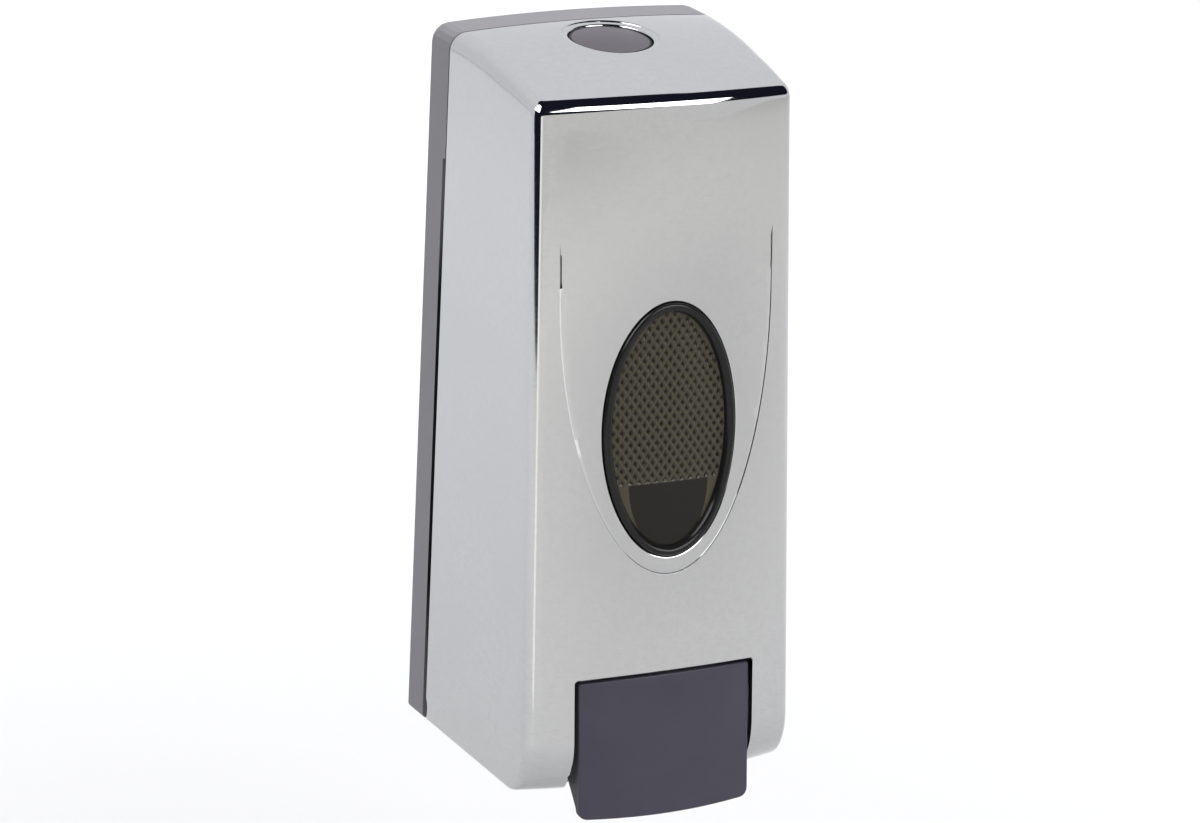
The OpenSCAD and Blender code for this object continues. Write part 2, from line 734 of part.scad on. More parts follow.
module lens_retainer() {
    rx = window_w / 2;
    rz = window_h / 2;
    a = lens_back + 0.1;
    color(grey) in_case() at_window() difference() {
        union() {
            oval_slab(rx + 4, rz + 4, a, a + retainer_t);
            for (x = [-lens_screw_x, lens_screw_x]) for (z = [-lens_screw_z, lens_screw_z])
                intersection() {
                    face_slab(a, a + retainer_t);
                    translate([x, 20, z]) rotate([90, 0, 0]) cylinder(r = 3.8, h = 30);
                }
        }
        oval_bar(rx - lens_rim + 1, rz - lens_rim + 1, 20);
        for (x = [-lens_screw_x, lens_screw_x]) for (z = [-lens_screw_z, lens_screw_z])
            translate([x, 20, z]) rotate([90, 0, 0]) cylinder(r = 1.2, h = 30);
    }
}

module lens_screws() {
    head = lens_back + 0.1 + retainer_t;
    color(steel) in_case() at_window()
        for (x = [-lens_screw_x, lens_screw_x]) for (z = [-lens_screw_z, lens_screw_z])
            translate([x, head + sag(x) + 0.55, z]) rotate([90, 0, 0]) {
                translate([0, 0, -1]) cylinder(r = 2.2, h = 1.2);
                cylinder(r = 1, h = retainer_t + 3);
            }
}

module lever_pin() {
    t = 2 * (bracket_x + bracket_t - 0.5);
    color(steel) in_case() pin_x(-t / 2, t, pivot_y, pivot_h, lever_pin_r);
}

module button_cage() {
    color(grey) in_case() at_button() difference() {
        union() {
            translate([0, 0, cage_low]) cylinder(r = cage_r + cage_wall, h = -4 - cage_low);
            both_sides() translate([0, -3.6, -11]) cube([cage_post_x, 7.2, 2]);
            both_sides() translate([cage_post_x, 0, -11]) cylinder(r = 3.6, h = 2);
        }
        translate([0, 0, cage_floor]) cylinder(r = cage_r, h = 20);
        translate([0, 0, cage_low - 1]) cylinder(r = stem_r + run, h = 10);
        both_sides() translate([cage_post_x, 0, -12]) cylinder(r = 1.2, h = 4);
    }
}

module cage_screws() {
    color(steel) in_case() at_button() both_sides() translate([cage_post_x, 0, -11]) {
        translate([0, 0, -1.4]) cylinder(r = 2.2, h = 1.4);
        cylinder(r = 1, h = 6);
    }
}

module button_spring() {
    color(steel) in_case() at_button() translate([0, 0, cage_floor])
        coil(9, 0.6, flange_low - cage_floor, button_turns);
}

module latch_button() {
    dome = 1.4;
    dome_r = (button_r * button_r + dome * dome) / (2 * dome);
    color(grey) in_case() at_button() union() {
        intersection() {
            translate([0, 0, flange_low + 0.4]) cylinder(r = button_r, h = 10);
            translate([0, 0, -0.2 - dome_r]) sphere(r = dome_r, $fn = 120);
        }
        translate([0, 0, flange_low]) cylinder(r = flange_r, h = flange_top - flange_low);
        translate([0, 0, arm_top - 1]) cylinder(r = stem_r, h = flange_low - arm_top + 1.5);
        along_x(-stem_r, 2 * stem_r) polygon([
            [-stem_r, arm_low], [13, arm_low], [13, hook_top - 2], [11.4, hook_top], [10, hook_top],
            [10, arm_top], [-stem_r, arm_top]]);
    }
}

// Frame on the lever's face at the middle of its top edge, leaning with the face
module at_lever() {
    translate([0, -lever_face_top, lever_top]) rotate([-lever_lean, 0, 0]) children();
}

module lever_skin(a, b) {
    translate([0, lever_r, -100]) difference() {
        cylinder(r = lever_r - a, h = 200, $fn = 720);
        translate([0, 0, -1]) cylinder(r = lever_r - b, h = 202, $fn = 720);
    }
}

// Points of an arched edge from right to left, over a half width
function arched(w, ends, rise) = [for (i = [0:12]) let (t = 1 - i / 6) [w * t, ends + rise * (1 - t * t)]];

// Front outline of the lever: an arched top, a bowed foot and rounded lower corners
module lever_outline() {
    r = lever_corner;
    w = lever_w / 2;
    low = -lever_drop + lever_bow + r;
    polygon(concat(
        [for (i = [0:6]) let (a = -90 + 15 * i) [w - r + r * cos(a), low + r * sin(a)]],
        arched(w, lever_top, lever_arch),
        [for (i = [0:6]) let (a = 180 + 15 * i) [-w + r + r * cos(a), low + r * sin(a)]],
        [for (i = [1:11]) let (t = i / 6 - 1) [(w - r) * t, -lever_drop + lever_bow * t * t]]));
}

module push_lever() {
    cheek_t = 2.4;
    cheek_low = -lever_drop + lever_bow + lever_corner;
    nose_r = 3;
    color(slate) in_case() difference() {
        union() {
            intersection() {
                at_lever() lever_skin(0, lever_wall);
                along_y(-case_d + 30, 60) lever_outline();
            }
            // Cheeks that carry the pivot, and the shallow skirt under them
            both_sides() intersection() {
                at_lever() translate([0, lever_r, -100]) cylinder(r = lever_r - 1, h = 200, $fn = 720);
                along_x(lever_w / 2 - cheek_t, cheek_t) polygon([
                    [-case_d - 10, cheek_low], [-case_d - 10, lever_top - 0.5],
                    [pivot_y - 2, lever_top - 0.5],
                    [pivot_y + 4, pivot_h + 2], [pivot_y + 4, pivot_h - 4], [pivot_y - 1, 6],
                    [pivot_y - 9, cheek_low]]);
            }
            // Rib that meets the press cap
            intersection() {
                at_lever() translate([0, lever_r, -100]) cylinder(r = lever_r - 1, h = 200, $fn = 720);
                along_x(-4, 8) union() {
                    translate([pivot_y - nose_r, pump_h]) circle(r = nose_r);
                    polygon([[pivot_y - nose_r, pump_h + nose_r], [pivot_y - nose_r, pump_h - nose_r],
                             [-case_d - 10, pump_h - nose_r - 3], [-case_d - 10, pump_h + nose_r + 3]]);
                }
            }
            // Cross ribs
            for (h = [4, 24]) intersection() {
                at_lever() translate([0, lever_r, -100]) difference() {
                    cylinder(r = lever_r - 1, h = 200, $fn = 720);
                    cylinder(r = lever_r - lever_wall - 2.5, h = 200, $fn = 720);
                }
                along_y(-case_d + 30, 60) translate([-lever_w / 2 + 1, h]) square([lever_w - 2, 1.8]);
            }
        }
        pin_x(-case_w, 2 * case_w, pivot_y, pivot_h, lever_pin_r + run);
    }
}

module filler_cap() {
    outer = mouth_r + play + cap_wall;
    color(grey) in_case() translate([0, mouth_y, 0]) difference() {
        translate([0, 0, tank_top + 0.5]) cylinder(r = outer, h = cap_top - tank_top - 0.5);
        translate([0, 0, tank_top - 1]) cylinder(r = mouth_r + play, h = cap_top - cap_t - tank_top + 1);
        for (i = [0:11]) rotate([0, 0, 30 * i]) translate([outer + 0.6, 0, tank_top]) cylinder(r = 1.6, h = 20);
    }
}

module cap_gasket() {
    color(rubber) in_case() translate([0, mouth_y, mouth_top + 0.1]) difference() {
        cylinder(r = mouth_r, h = gasket_t);
        translate([0, 0, -1]) cylinder(r = mouth_bore - 0.5, h = gasket_t + 2);
    }
}

back_plate();
hinge_pins();
keeper_strip();
keeper_screw();
tank();
outlet_grommet();
pump_body();
pump_screws();
inlet_seat();
pump_gland();
pump_spring();
outlet_valve();
nozzle();
front_cover();
window_lens();
lens_retainer();
lens_screws();
lever_pin();
button_cage();
cage_screws();
button_spring();
push_lever();
latch_button();
piston_rod();
piston_seal();
press_cap();
filler_cap();
cap_gasket();
inlet_ball();
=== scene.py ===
# %% [markdown]
# # A wall soap dispenser with a chrome cover
# The packed CAD model is the fixed frame of this scene: 29 nodes on 7 bodies, one of them on the wall.
# The lesson dresses it. The shapes that the eye meets first are made again as smooth surfaces,
# because chrome shows every facet, and every other solid keeps its CAD mesh and gets a finish.

# %% Load the packed frame
import json
import math

import bmesh
import bpy
import numpy as np
from mathutils import Matrix, Vector


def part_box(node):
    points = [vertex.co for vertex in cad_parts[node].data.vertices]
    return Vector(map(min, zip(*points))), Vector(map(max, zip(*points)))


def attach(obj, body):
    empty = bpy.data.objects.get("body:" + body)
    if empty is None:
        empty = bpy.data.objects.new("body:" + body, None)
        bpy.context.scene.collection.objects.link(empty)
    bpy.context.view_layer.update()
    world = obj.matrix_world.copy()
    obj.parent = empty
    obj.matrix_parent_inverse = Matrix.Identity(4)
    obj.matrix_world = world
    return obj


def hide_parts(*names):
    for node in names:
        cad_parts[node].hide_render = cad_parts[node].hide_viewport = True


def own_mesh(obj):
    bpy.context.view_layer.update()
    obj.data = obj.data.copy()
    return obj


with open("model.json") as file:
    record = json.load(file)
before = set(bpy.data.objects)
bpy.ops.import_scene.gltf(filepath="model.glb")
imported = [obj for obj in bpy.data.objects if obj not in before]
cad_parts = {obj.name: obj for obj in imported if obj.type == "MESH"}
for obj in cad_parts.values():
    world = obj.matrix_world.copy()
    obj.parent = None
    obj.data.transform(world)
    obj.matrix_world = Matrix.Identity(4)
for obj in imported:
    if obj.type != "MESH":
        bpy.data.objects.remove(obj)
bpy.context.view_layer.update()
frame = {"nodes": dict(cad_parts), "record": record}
nodes = frame["nodes"]
slot_of_node = {s["node"]: s["material_slot"] for s in frame["record"]["subparts"]}

# %% [markdown]
# ## The camera
# A product photograph is taken from far away with a long lens, so upright edges stay nearly parallel.
# The camera's place was worked out from the case's straight edges: it stands to the left and above.
# Its three axes are built from turn, tilt and roll, and the lens from the focal length in pixels.

# %% Camera
MM = 0.001
IMAGE_WIDTH = 1200
FOCAL_PIXELS = 4963.6
SENSOR_MM = 36.0
TURN, TILT, ROLL = math.radians(27.377), math.radians(18.059), math.radians(2.729)
CAMERA_DISTANCE = 1.4721
AIM = np.array([0.0, -0.045, -0.010025])
SLIDE = (-0.00529, -0.00027)

back = np.array([-math.sin(TURN) * math.cos(TILT), -math.cos(TURN) * math.cos(TILT), math.sin(TILT)])
level = np.array([math.cos(TURN), -math.sin(TURN), 0.0])
upright = np.cross(back, level)
right = math.cos(ROLL) * level + math.sin(ROLL) * upright
up = -math.sin(ROLL) * level + math.cos(ROLL) * upright
eye = AIM + SLIDE[0] * right + SLIDE[1] * up + CAMERA_DISTANCE * back

camera_data = bpy.data.cameras.new("camera")
camera_data.sensor_width = SENSOR_MM
camera_data.sensor_fit = "HORIZONTAL"
camera_data.lens = FOCAL_PIXELS / IMAGE_WIDTH * SENSOR_MM
camera = bpy.data.objects.new("camera", camera_data)
bpy.context.scene.collection.objects.link(camera)
turned = Matrix((right, up, back)).transposed().to_4x4()
camera.matrix_world = Matrix.Translation(eye) @ turned
bpy.context.scene.camera = camera
print("camera: lens", round(camera_data.lens, 1), "mm at", eye.round(3))

# %% [markdown]
# ## Helpers for surfaces
# A surface is an array of points on a grid. These helpers turn such arrays into meshes,
# join closed shapes, and cut one shape with another.

# %% Points and faces
CASE_H = 215.0
MOUNT_H = 0.535 * CASE_H


def in_frame(points):
    """Case millimetres, with heights from the case's foot, to metres in the frame."""
    return (np.asarray(points, float) - np.array([0.0, 0.0, MOUNT_H])) * MM


def grid_faces(rows, cols, wrap=False):
    """Quads between neighbouring rows and columns of a grid; wrap joins the last column to the first."""
    i = np.arange(rows - 1)[:, None]
    j = np.arange(cols if wrap else cols - 1)[None, :]
    k = (j + 1) % cols
    return np.stack([i * cols + j, i * cols + k, (i + 1) * cols + k, (i + 1) * cols + j], -1).reshape(-1, 4)


def capped_faces(rows, cols):
    """Faces of a tube of closed rings with a flat lid on its first and last ring."""
    lids = [list(range(cols))[::-1], list(range((rows - 1) * cols, rows * cols))]
    return grid_faces(rows, cols, wrap=True).tolist() + lids


def turn_angles(steps):
    """Evenly spaced angles of one full turn."""
    return np.linspace(0, 2 * np.pi, steps, endpoint=False)


def arc(first, second, radius, angles):
    """Points on a circle round a centre, at given angles."""
    return np.column_stack([first + radius * np.cos(angles), second + radius * np.sin(angles)])


case_foot, case_top = in_frame([[0, 0, 0], [0, 0, CASE_H]])[:, 2]
print("case: foot at", case_foot.round(4), "m, top at", case_top.round(4), "m")

# %% Pieces


def new_piece(name, points, faces, finish_index=None):
    """A mesh object at the origin from case millimetres; doubles are merged and faces turned outwards."""
    mesh = bpy.data.meshes.new(name)
    mesh.from_pydata(in_frame(points).reshape(-1, 3).tolist(), [], [list(f) for f in faces])
    if finish_index is not None:
        mesh.polygons.foreach_set("material_index", np.asarray(finish_index, np.int32))
    work = bmesh.new()
    work.from_mesh(mesh)
    bmesh.ops.remove_doubles(work, verts=work.verts, dist=1e-6)
    bmesh.ops.dissolve_degenerate(work, edges=work.edges, dist=1e-7)
    bmesh.ops.recalc_face_normals(work, faces=work.faces)
    work.to_mesh(mesh)
    work.free()
    piece = bpy.data.objects.new(name, mesh)
    bpy.context.scene.collection.objects.link(piece)
    return piece


def combine(body, tool, operation):
    """Cuts the tool out of the body, or joins it on, and removes the tool."""
    step = body.modifiers.new(tool.name, "BOOLEAN")
    step.object = tool
    step.operation = operation
    step.solver = "EXACT"
    settle(body)
    bpy.data.objects.remove(tool)


def settle(piece):
    """Makes the mesh what the modifiers show, and takes the modifiers off."""
    shown = piece.evaluated_get(bpy.context.evaluated_depsgraph_get())
    done = bpy.data.meshes.new_from_object(shown)
    old, name = piece.data, piece.data.name
    piece.modifiers.clear()
    piece.data = done
    bpy.data.meshes.remove(old)
    done.name = name


def smooth(piece, sharp_degrees):
    """Smooth shading that stays crisp along edges sharper than an angle."""
    piece.data.polygons.foreach_set("use_smooth", np.ones(len(piece.data.polygons), bool))
    piece.data.set_sharp_from_angle(angle=math.radians(sharp_degrees))


def case_points(piece):
    """A mesh's points back in case millimetres."""
    points = np.empty(len(piece.data.vertices) * 3)
    piece.data.vertices.foreach_get("co", points)
    return points.reshape(-1, 3) / MM + np.array([0.0, 0.0, MOUNT_H])


def prism_x(name, outline, x0, x1, finish=0):
    """A flat outline in (y, height) carried along X."""
    ring = np.asarray(outline, float)
    ends = [np.column_stack([np.full(len(ring), x), ring]) for x in (x0, x1)]
    faces = capped_faces(2, len(ring))
    return new_piece(name, np.concatenate(ends), faces, [finish] * len(faces))


# %% [markdown]
# ## The cover's form
# The real cover is one moulding, plated bright. Seen from the side it is a closed line: along the foot,
# up a short curve, up the leaning front, over a tight brow and back along a gently falling top.
# Each point of that line carries a row across the width, bulged like a barrel and rounded at its two edges.
# Rows of the same kind, set in by the wall, give the inside, so outer and inner skin are one function.

# %% Sizes of the cover
CASE_W, CASE_D = 88.0, 89.0
LEAN_DEGREES = 4.95
LEAN = math.tan(math.radians(LEAN_DEGREES))
CROWN, TOP_DROP, TOP_ARCH, SIDE_TAPER = 6.6, 9.0, 1.5, 2.4
WALL, PLATE_D = 2.4, 12.0
COVER_REAR = PLATE_D + 0.6
CROWN_R = (CASE_W**2 / 4 + CROWN**2) / (2 * CROWN)
FOOT_H, FOOT_D, BROW_R = 18.0, 13.0, 4.8
EDGE_FOOT, EDGE_FRONT, EDGE_BROW, EDGE_TOP, LEAST_EDGE = 1.5, 2.6, 3.5, 5.0, 0.8
EDGE_GROWTH = 3
SOLE_STEPS = 6
BROW_H = CASE_H + TOP_ARCH - TOP_DROP
BROW_D = CASE_D - LEAN * BROW_H
TOP_R = (BROW_D - PLATE_D) ** 2 / (2 * TOP_DROP)
BROW_SLOPE = math.degrees(math.atan((BROW_D - PLATE_D) / TOP_R))


def sag(x):
    """Depth lost by the barrel-shaped front at a distance from its middle."""
    return CROWN_R - np.sqrt(CROWN_R**2 - np.asarray(x, float) ** 2)


def half_width(depth, height):
    """Half the cover's width: it narrows evenly towards the top of the front."""
    forward = np.clip((depth - PLATE_D) / (BROW_D - PLATE_D), 0, 1)
    return CASE_W / 2 - SIDE_TAPER * (height / CASE_H) * forward


def front_depth(x, h):
    """Depth of the front at a place across and a height: a leaning barrel with an elliptical foot."""
    low = np.clip(1 - np.asarray(h, float) / FOOT_H, 0, 1)
    return CASE_D - LEAN * h - FOOT_D * (1 - np.sqrt(1 - low**2)) - sag(x)


print("cover:", CASE_W, "x", CASE_D, "x", CASE_H, "mm, brow at", round(BROW_D, 2), "deep")

# %% Side line of the cover


def side_line(foot_steps, front_steps, brow_steps, top_steps):
    """Columns of depth, height, share of the bulge and edge radius, from rear foot to rear top."""
    lean = math.radians(LEAN_DEGREES)
    slope = math.radians(BROW_SLOPE)
    face_normal = np.array([math.cos(lean), math.sin(lean)])
    top_normal = np.array([math.sin(slope), math.cos(slope)])
    corner = np.array([BROW_D, BROW_H])
    centre = corner - BROW_R * (face_normal + top_normal) / (1 + face_normal @ top_normal)
    foot_end = CASE_D - FOOT_D
    s = np.linspace(0, 1, SOLE_STEPS)[:-1]
    sole = np.column_stack([COVER_REAR + s * (foot_end - COVER_REAR), 0 * s, s, 0 * s + EDGE_FOOT])
    a = np.linspace(0, np.pi / 2, foot_steps)
    h = FOOT_H * (1 - np.cos(a))
    edge = EDGE_FOOT + (EDGE_FRONT - EDGE_FOOT) * a / a[-1]
    foot = np.column_stack([CASE_D - LEAN * h - FOOT_D * (1 - np.sin(a)), h, 0 * a + 1, edge])
    h = np.linspace(FOOT_H, (centre + BROW_R * face_normal)[1], front_steps)[1:-1]
    face = np.column_stack([CASE_D - LEAN * h, h, 0 * h + 1, 0 * h + EDGE_FRONT])
    a = np.linspace(lean, np.pi / 2 - slope, brow_steps)
    edge = np.linspace(EDGE_FRONT, EDGE_BROW, brow_steps)
    brow = np.column_stack([arc(*centre, BROW_R, a), 0 * a + 1, edge])
    s = np.linspace(0, 1, top_steps)[1:]
    d = brow[-1, 0] + s * (COVER_REAR - brow[-1, 0])
    h = CASE_H + TOP_ARCH - np.maximum(0, d - PLATE_D) ** 2 / (2 * TOP_R)
    top = np.column_stack([d, h, 1 - s, EDGE_BROW + (EDGE_TOP - EDGE_BROW) * np.minimum(1, EDGE_GROWTH * s)])
    return np.concatenate([sole, foot, face, brow, top])


cover_line = side_line(foot_steps=26, front_steps=36, brow_steps=15, top_steps=22)
print("side line:", len(cover_line), "points")

# %% Skin and shell of the cover


def line_normals(line):
    """Outward directions of the side line: across its chord, and square to the wall at its two ends."""
    chord = np.zeros((len(line), 2))
    chord[1:-1] = line[2:, :2] - line[:-2, :2]
    chord[0], chord[-1] = (1, 0), (-1, 0)
    chord /= np.linalg.norm(chord, axis=1, keepdims=True)
    return np.column_stack([chord[:, 1], -chord[:, 0]])


def skin(line, inset, edge_steps, crown_steps, side_steps):
    """The surface as a grid: each row runs from the rear left line over the front to the rear right.

    A row's depth is the side line's less the barrel's sag. At both edges the row rounds off along
    the line's normal, and from there a straight ruling goes back to the rear line.
    """
    d, h, bulge, radius = line.T
    n = line_normals(line)
    w = (half_width(d, h) - inset)[:, None]
    r = np.maximum(LEAST_EDGE, radius - inset)[:, None]
    a = np.linspace(0, np.pi / 2, edge_steps + 1)[None, :]
    flat = np.linspace(-1, 1, crown_steps + 1)[None, 1:-1]
    x = np.concatenate([-(w - r + r * np.cos(a)), (w - r) * flat, (w - r + r * np.cos(a))[:, ::-1]], 1)
    round_off = r * (1 - np.sin(a))
    drop = inset + np.concatenate([round_off, np.zeros((len(d), crown_steps - 1)), round_off[:, ::-1]], 1)
    depth = d[:, None] - bulge[:, None] * sag(x) - drop * n[:, :1]
    height = h[:, None] - TOP_ARCH * (h[:, None] / CASE_H) * (2 * x / CASE_W) ** 2 - drop * n[:, 1:]
    # Each side is ruled from the rounded edge back to the rear line
    share = np.cumsum(np.r_[0, np.hypot(np.diff(depth[:, 0]), np.diff(height[:, 0]))])
    share /= share[-1]
    rear_h = height[0, 0] + share * (height[-1, 0] - height[0, 0])
    t = np.linspace(1, 0, side_steps + 1)[None, :-1]
    side_d = depth[:, :1] + t * (COVER_REAR - depth[:, :1])
    side_h = height[:, :1] + t * (rear_h[:, None] - height[:, :1])
    edge_x = -x[:, :1] - (half_width(depth[:, :1], height[:, :1]) - inset)
    side_x = half_width(side_d, side_h) - inset + edge_x * (1 - t) ** 2
    left = np.stack([-side_x, -side_d, side_h], -1)
    across = np.stack([x, -depth, height], -1)
    mirrored = left[:, ::-1] * np.array([-1.0, 1.0, 1.0])
    return np.concatenate([left, across, mirrored], 1)


def rim_loop(rows, cols):
    """Indices round the edge of a grid, in order."""
    last = (rows - 1) * cols
    return np.concatenate([
        np.arange(cols), np.arange(1, rows) * cols + cols - 1,
        last + np.arange(cols - 1)[::-1], np.arange(1, rows - 1)[::-1] * cols])


def cover_shell():
    """Outer skin, inner skin turned round, and the rim that joins them at the rear."""
    steps = {"edge_steps": 10, "crown_steps": 44, "side_steps": 12}
    outer, inner = (skin(cover_line, inset, **steps) for inset in (0.0, WALL))
    rows, cols = outer.shape[:2]
    count = rows * cols
    quads = grid_faces(rows, cols)
    loop = rim_loop(rows, cols)
    after = np.roll(loop, -1)
    rim = np.column_stack([loop, after, after + count, loop + count])
    faces = np.concatenate([quads, quads[:, ::-1] + count, rim])
    finish = np.r_[np.zeros(len(quads)), np.ones(len(quads)), np.zeros(len(rim))]
    points = np.concatenate([outer.reshape(-1, 3), inner.reshape(-1, 3)])
    return new_piece("chrome_cover", points, faces, finish)


cover = cover_shell()
print("cover shell:", len(cover.data.polygons), "faces")

# %% [markdown]
# ## Openings with rolled lips
# A plated edge is never knife sharp: each opening has a rolled lip, and the roll catches a bright line.
# So each cutter is a tube that follows the surface and flares out at its mouth like a trumpet.
# Its rows are given as how far they stand out from the opening and how deep they lie under the surface.

# %% Lips
MOUTH, STAND_OFF = 3.0, 8.0


def lip(radius, depth, first_degrees=20.0, steps=12):
    """Rows of (outward offset, depth) down a trumpet mouth: a flat lid, the flare, then straight down."""
    b = np.radians(np.linspace(first_degrees, 90, steps))
    roll = np.column_stack([radius * (1 - np.sin(b)), radius * (1 - np.cos(b))])
    mouth = roll[0] + MOUTH * np.array([math.cos(b[0]), -math.sin(b[0])])
    return np.concatenate([[mouth], [mouth], roll, [[0.0, depth]]])


def stepped_lip(step_r, dish, dish_degrees, roll_r, depth, step_degrees=(16, 62), steps=15):
    """Rows of (outward offset, depth) for a sunk ring: a small step, a shallow cone, a rolled edge."""
    slope = math.radians(dish_degrees)
    b = np.linspace(slope, math.pi / 2, steps)
    roll = np.column_stack([roll_r * (1 - np.sin(b)), roll_r * (1 - np.cos(b))])
    cone = roll[0] + (dish - roll[0, 0]) * np.array([1.0, -math.tan(slope)])
    b = np.radians(np.linspace(*step_degrees, steps))
    step = np.column_stack([-step_r * np.sin(b), -step_r * np.cos(b)])
    step += cone - step[-1]
    mouth = step[0] + MOUTH * np.array([math.cos(b[0]), -math.sin(b[0])])
    rows = np.concatenate([[mouth], [mouth], step, roll, [[0.0, depth]]])
    rows[:-1, 1] -= step[0, 1]
    return rows


print("lip of 0.5 mm:", len(lip(0.5, 10.0)), "rows")

# %% Window opening
WINDOW_W, WINDOW_H = 43.0, 75.6
WINDOW_Z = 0.511 * CASE_H
WINDOW_Y = -(CASE_D - LEAN * WINDOW_Z)
WINDOW_PLAY, WINDOW_ROLL, WINDOW_CUT = 0.2, 0.6, 14.0


def window_place(x, depth, z):
    """Points measured in the window's leaning frame, with depth from the bulged face, to the case."""
    lean = math.radians(LEAN_DEGREES)
    y = sag(x) + depth
    return np.stack([x, WINDOW_Y + y * math.cos(lean) + z * math.sin(lean),
                     WINDOW_Z - y * math.sin(lean) + z * math.cos(lean)], -1)


def window_cutter():
    """The window's oval, flared by the lip rows along the bulged face."""
    a = turn_angles(120)[None, :]
    rows = lip(WINDOW_ROLL, WINDOW_CUT)
    rx = WINDOW_W / 2 + WINDOW_PLAY + rows[:, :1]
    rz = WINDOW_H / 2 + WINDOW_PLAY + rows[:, :1]
    x, z = rx * np.cos(a), rz * np.sin(a)
    depth = rows[:, 1:] + 0 * x
    depth[0] = -STAND_OFF - sag(x[0])
    depth[-1] -= sag(x[-1])
    return new_piece("window_cutter", window_place(x, depth, z), capped_faces(len(rows), a.size))


combine(cover, window_cutter(), "DIFFERENCE")
print("cover with window:", len(cover.data.polygons), "faces")

# %% Lever opening
LEVER_W, LEVER_TOP, LEVER_DROP, LEVER_GAP, LEVER_SIDE = 56.2, 35.5, 6.5, 1.0, 1.3
LEVER_ARCH, LEVER_BOW = 0.8, 0.45
MOUTH_CORNER, MOUTH_FOOT, MOUTH_ROLL, MOUTH_CUT, MOUTH_INSIDE = 1.0, -22.0, 0.5, 30.0, 35.0
REACH_X, REACH_H = 40.0, 3.0


def across(path):
    """Directions square to a path, on its left."""
    chord = np.gradient(path, axis=0)
    chord /= np.linalg.norm(chord, axis=1, keepdims=True)
    return np.column_stack([-chord[:, 1], chord[:, 0]])


def lever_cutter():
    """The lever's opening: up one side, over a flat arch and down the other, flared the same way."""
    w, top, r = LEVER_W / 2 + LEVER_SIDE, LEVER_TOP + LEVER_GAP, MOUTH_CORNER
    bend = np.radians(np.linspace(180, 90, 7))
    up_h = np.linspace(MOUTH_FOOT, top - r, 40)
    corner = arc(-w + r, top - r, r, bend)
    climb = np.column_stack([0 * up_h - w, up_h])[:-1]
    bridge = np.linspace(-w + r, w - r, 40)[1:-1]
    half = np.concatenate([climb, corner])
    arch = top + LEVER_ARCH * (1 - (bridge / (w - r)) ** 2)
    path = np.concatenate([half, np.column_stack([bridge, arch]), half[::-1] * np.array([-1, 1])])
    rows = lip(MOUTH_ROLL, MOUTH_CUT)
    x, h = np.moveaxis(path[None] + rows[:, :1, None] * across(path)[None], -1, 0)
    depth = front_depth(np.clip(x, -REACH_X, REACH_X), np.maximum(h, REACH_H)) - rows[:, 1:]
    depth[0], depth[-1] = CASE_D + STAND_OFF, CASE_D - MOUTH_INSIDE
    return new_piece("lever_cutter", np.stack([x, -depth, h], -1), capped_faces(len(rows), len(path)))


combine(cover, lever_cutter(), "DIFFERENCE")
print("cover with lever's mouth:", len(cover.data.polygons), "faces")

# %% Button hole
BUTTON_R, BUTTON_BACK, PLAY, HOLE_INSIDE = 12.3, 17.0, 0.3, 12.0
BUTTON_Y = -(PLATE_D + BUTTON_BACK)
BUTTON_Z = CASE_H + TOP_ARCH - BUTTON_BACK**2 / (2 * TOP_R)
BUTTON_TILT = math.atan(BUTTON_BACK / TOP_R)


def button_place(x, y, z):
    """Points measured in the button's tilted frame to the case."""
    c, s = math.cos(BUTTON_TILT), math.sin(BUTTON_TILT)
    return np.stack([x, BUTTON_Y + y * c - z * s, BUTTON_Z + y * s + z * c], -1)


def top_height(x, y):
    """Height of the cover's top: it falls towards the front and towards both sides."""
    h = CASE_H + TOP_ARCH - np.maximum(0, -y - PLATE_D) ** 2 / (2 * TOP_R)
    return h - TOP_ARCH * (h / CASE_H) * (2 * x / CASE_W) ** 2


def button_cutter():
    """The button's round hole with a wide rolled dish that follows the top."""
    a = turn_angles(180)[None, :]
    rows = stepped_lip(step_r=0.85, dish=1.8, dish_degrees=10, roll_r=0.7, depth=HOLE_INSIDE)
    r = BUTTON_R + PLAY + rows[:, :1]
    x, y = r * np.cos(a), BUTTON_Y + r * np.sin(a)
    points = np.stack([x, y, top_height(x, y) - rows[:, 1:]], -1)
    points[0, :, 2], points[-1, :, 2] = CASE_H + STAND_OFF, CASE_H - HOLE_INSIDE
    return new_piece("button_cutter", points, capped_faces(len(rows), a.size))


combine(cover, button_cutter(), "DIFFERENCE")
print("cover with button's hole:", len(cover.data.polygons), "faces")

# %% [markdown]
# ## The dished line
# A shallow line in the shape of a U runs round the lower half of the window. It shows in chrome because
# one wall slopes gently and mirrors another part of the room. A triangle carried along the U cuts it:
# the outer wall is almost square, the inner one gentle, and both arms end in a short steep stretch.

# %% U-shaped line
ARM_X, ARM_FOOT, ARM_TOP = CASE_W / 2 - 9.5, 40.0, 57.5
BOW_DROP = WINDOW_Z - 66.5 + ARM_FOOT
LINE_DEPTH, LINE_RISE, INNER_DEGREES, OUTER_DEGREES = 0.28, 0.2, 28, 86
END_RUN, END_FADE, END_DEPTH, END_DEGREES, END_SIZE = 11.0, 3.0, 0.2, 24, 0.1


def run_along(path):
    """Length of a path up to each of its points."""
    return np.r_[0, np.cumsum(np.hypot(*np.diff(path, axis=0).T))]


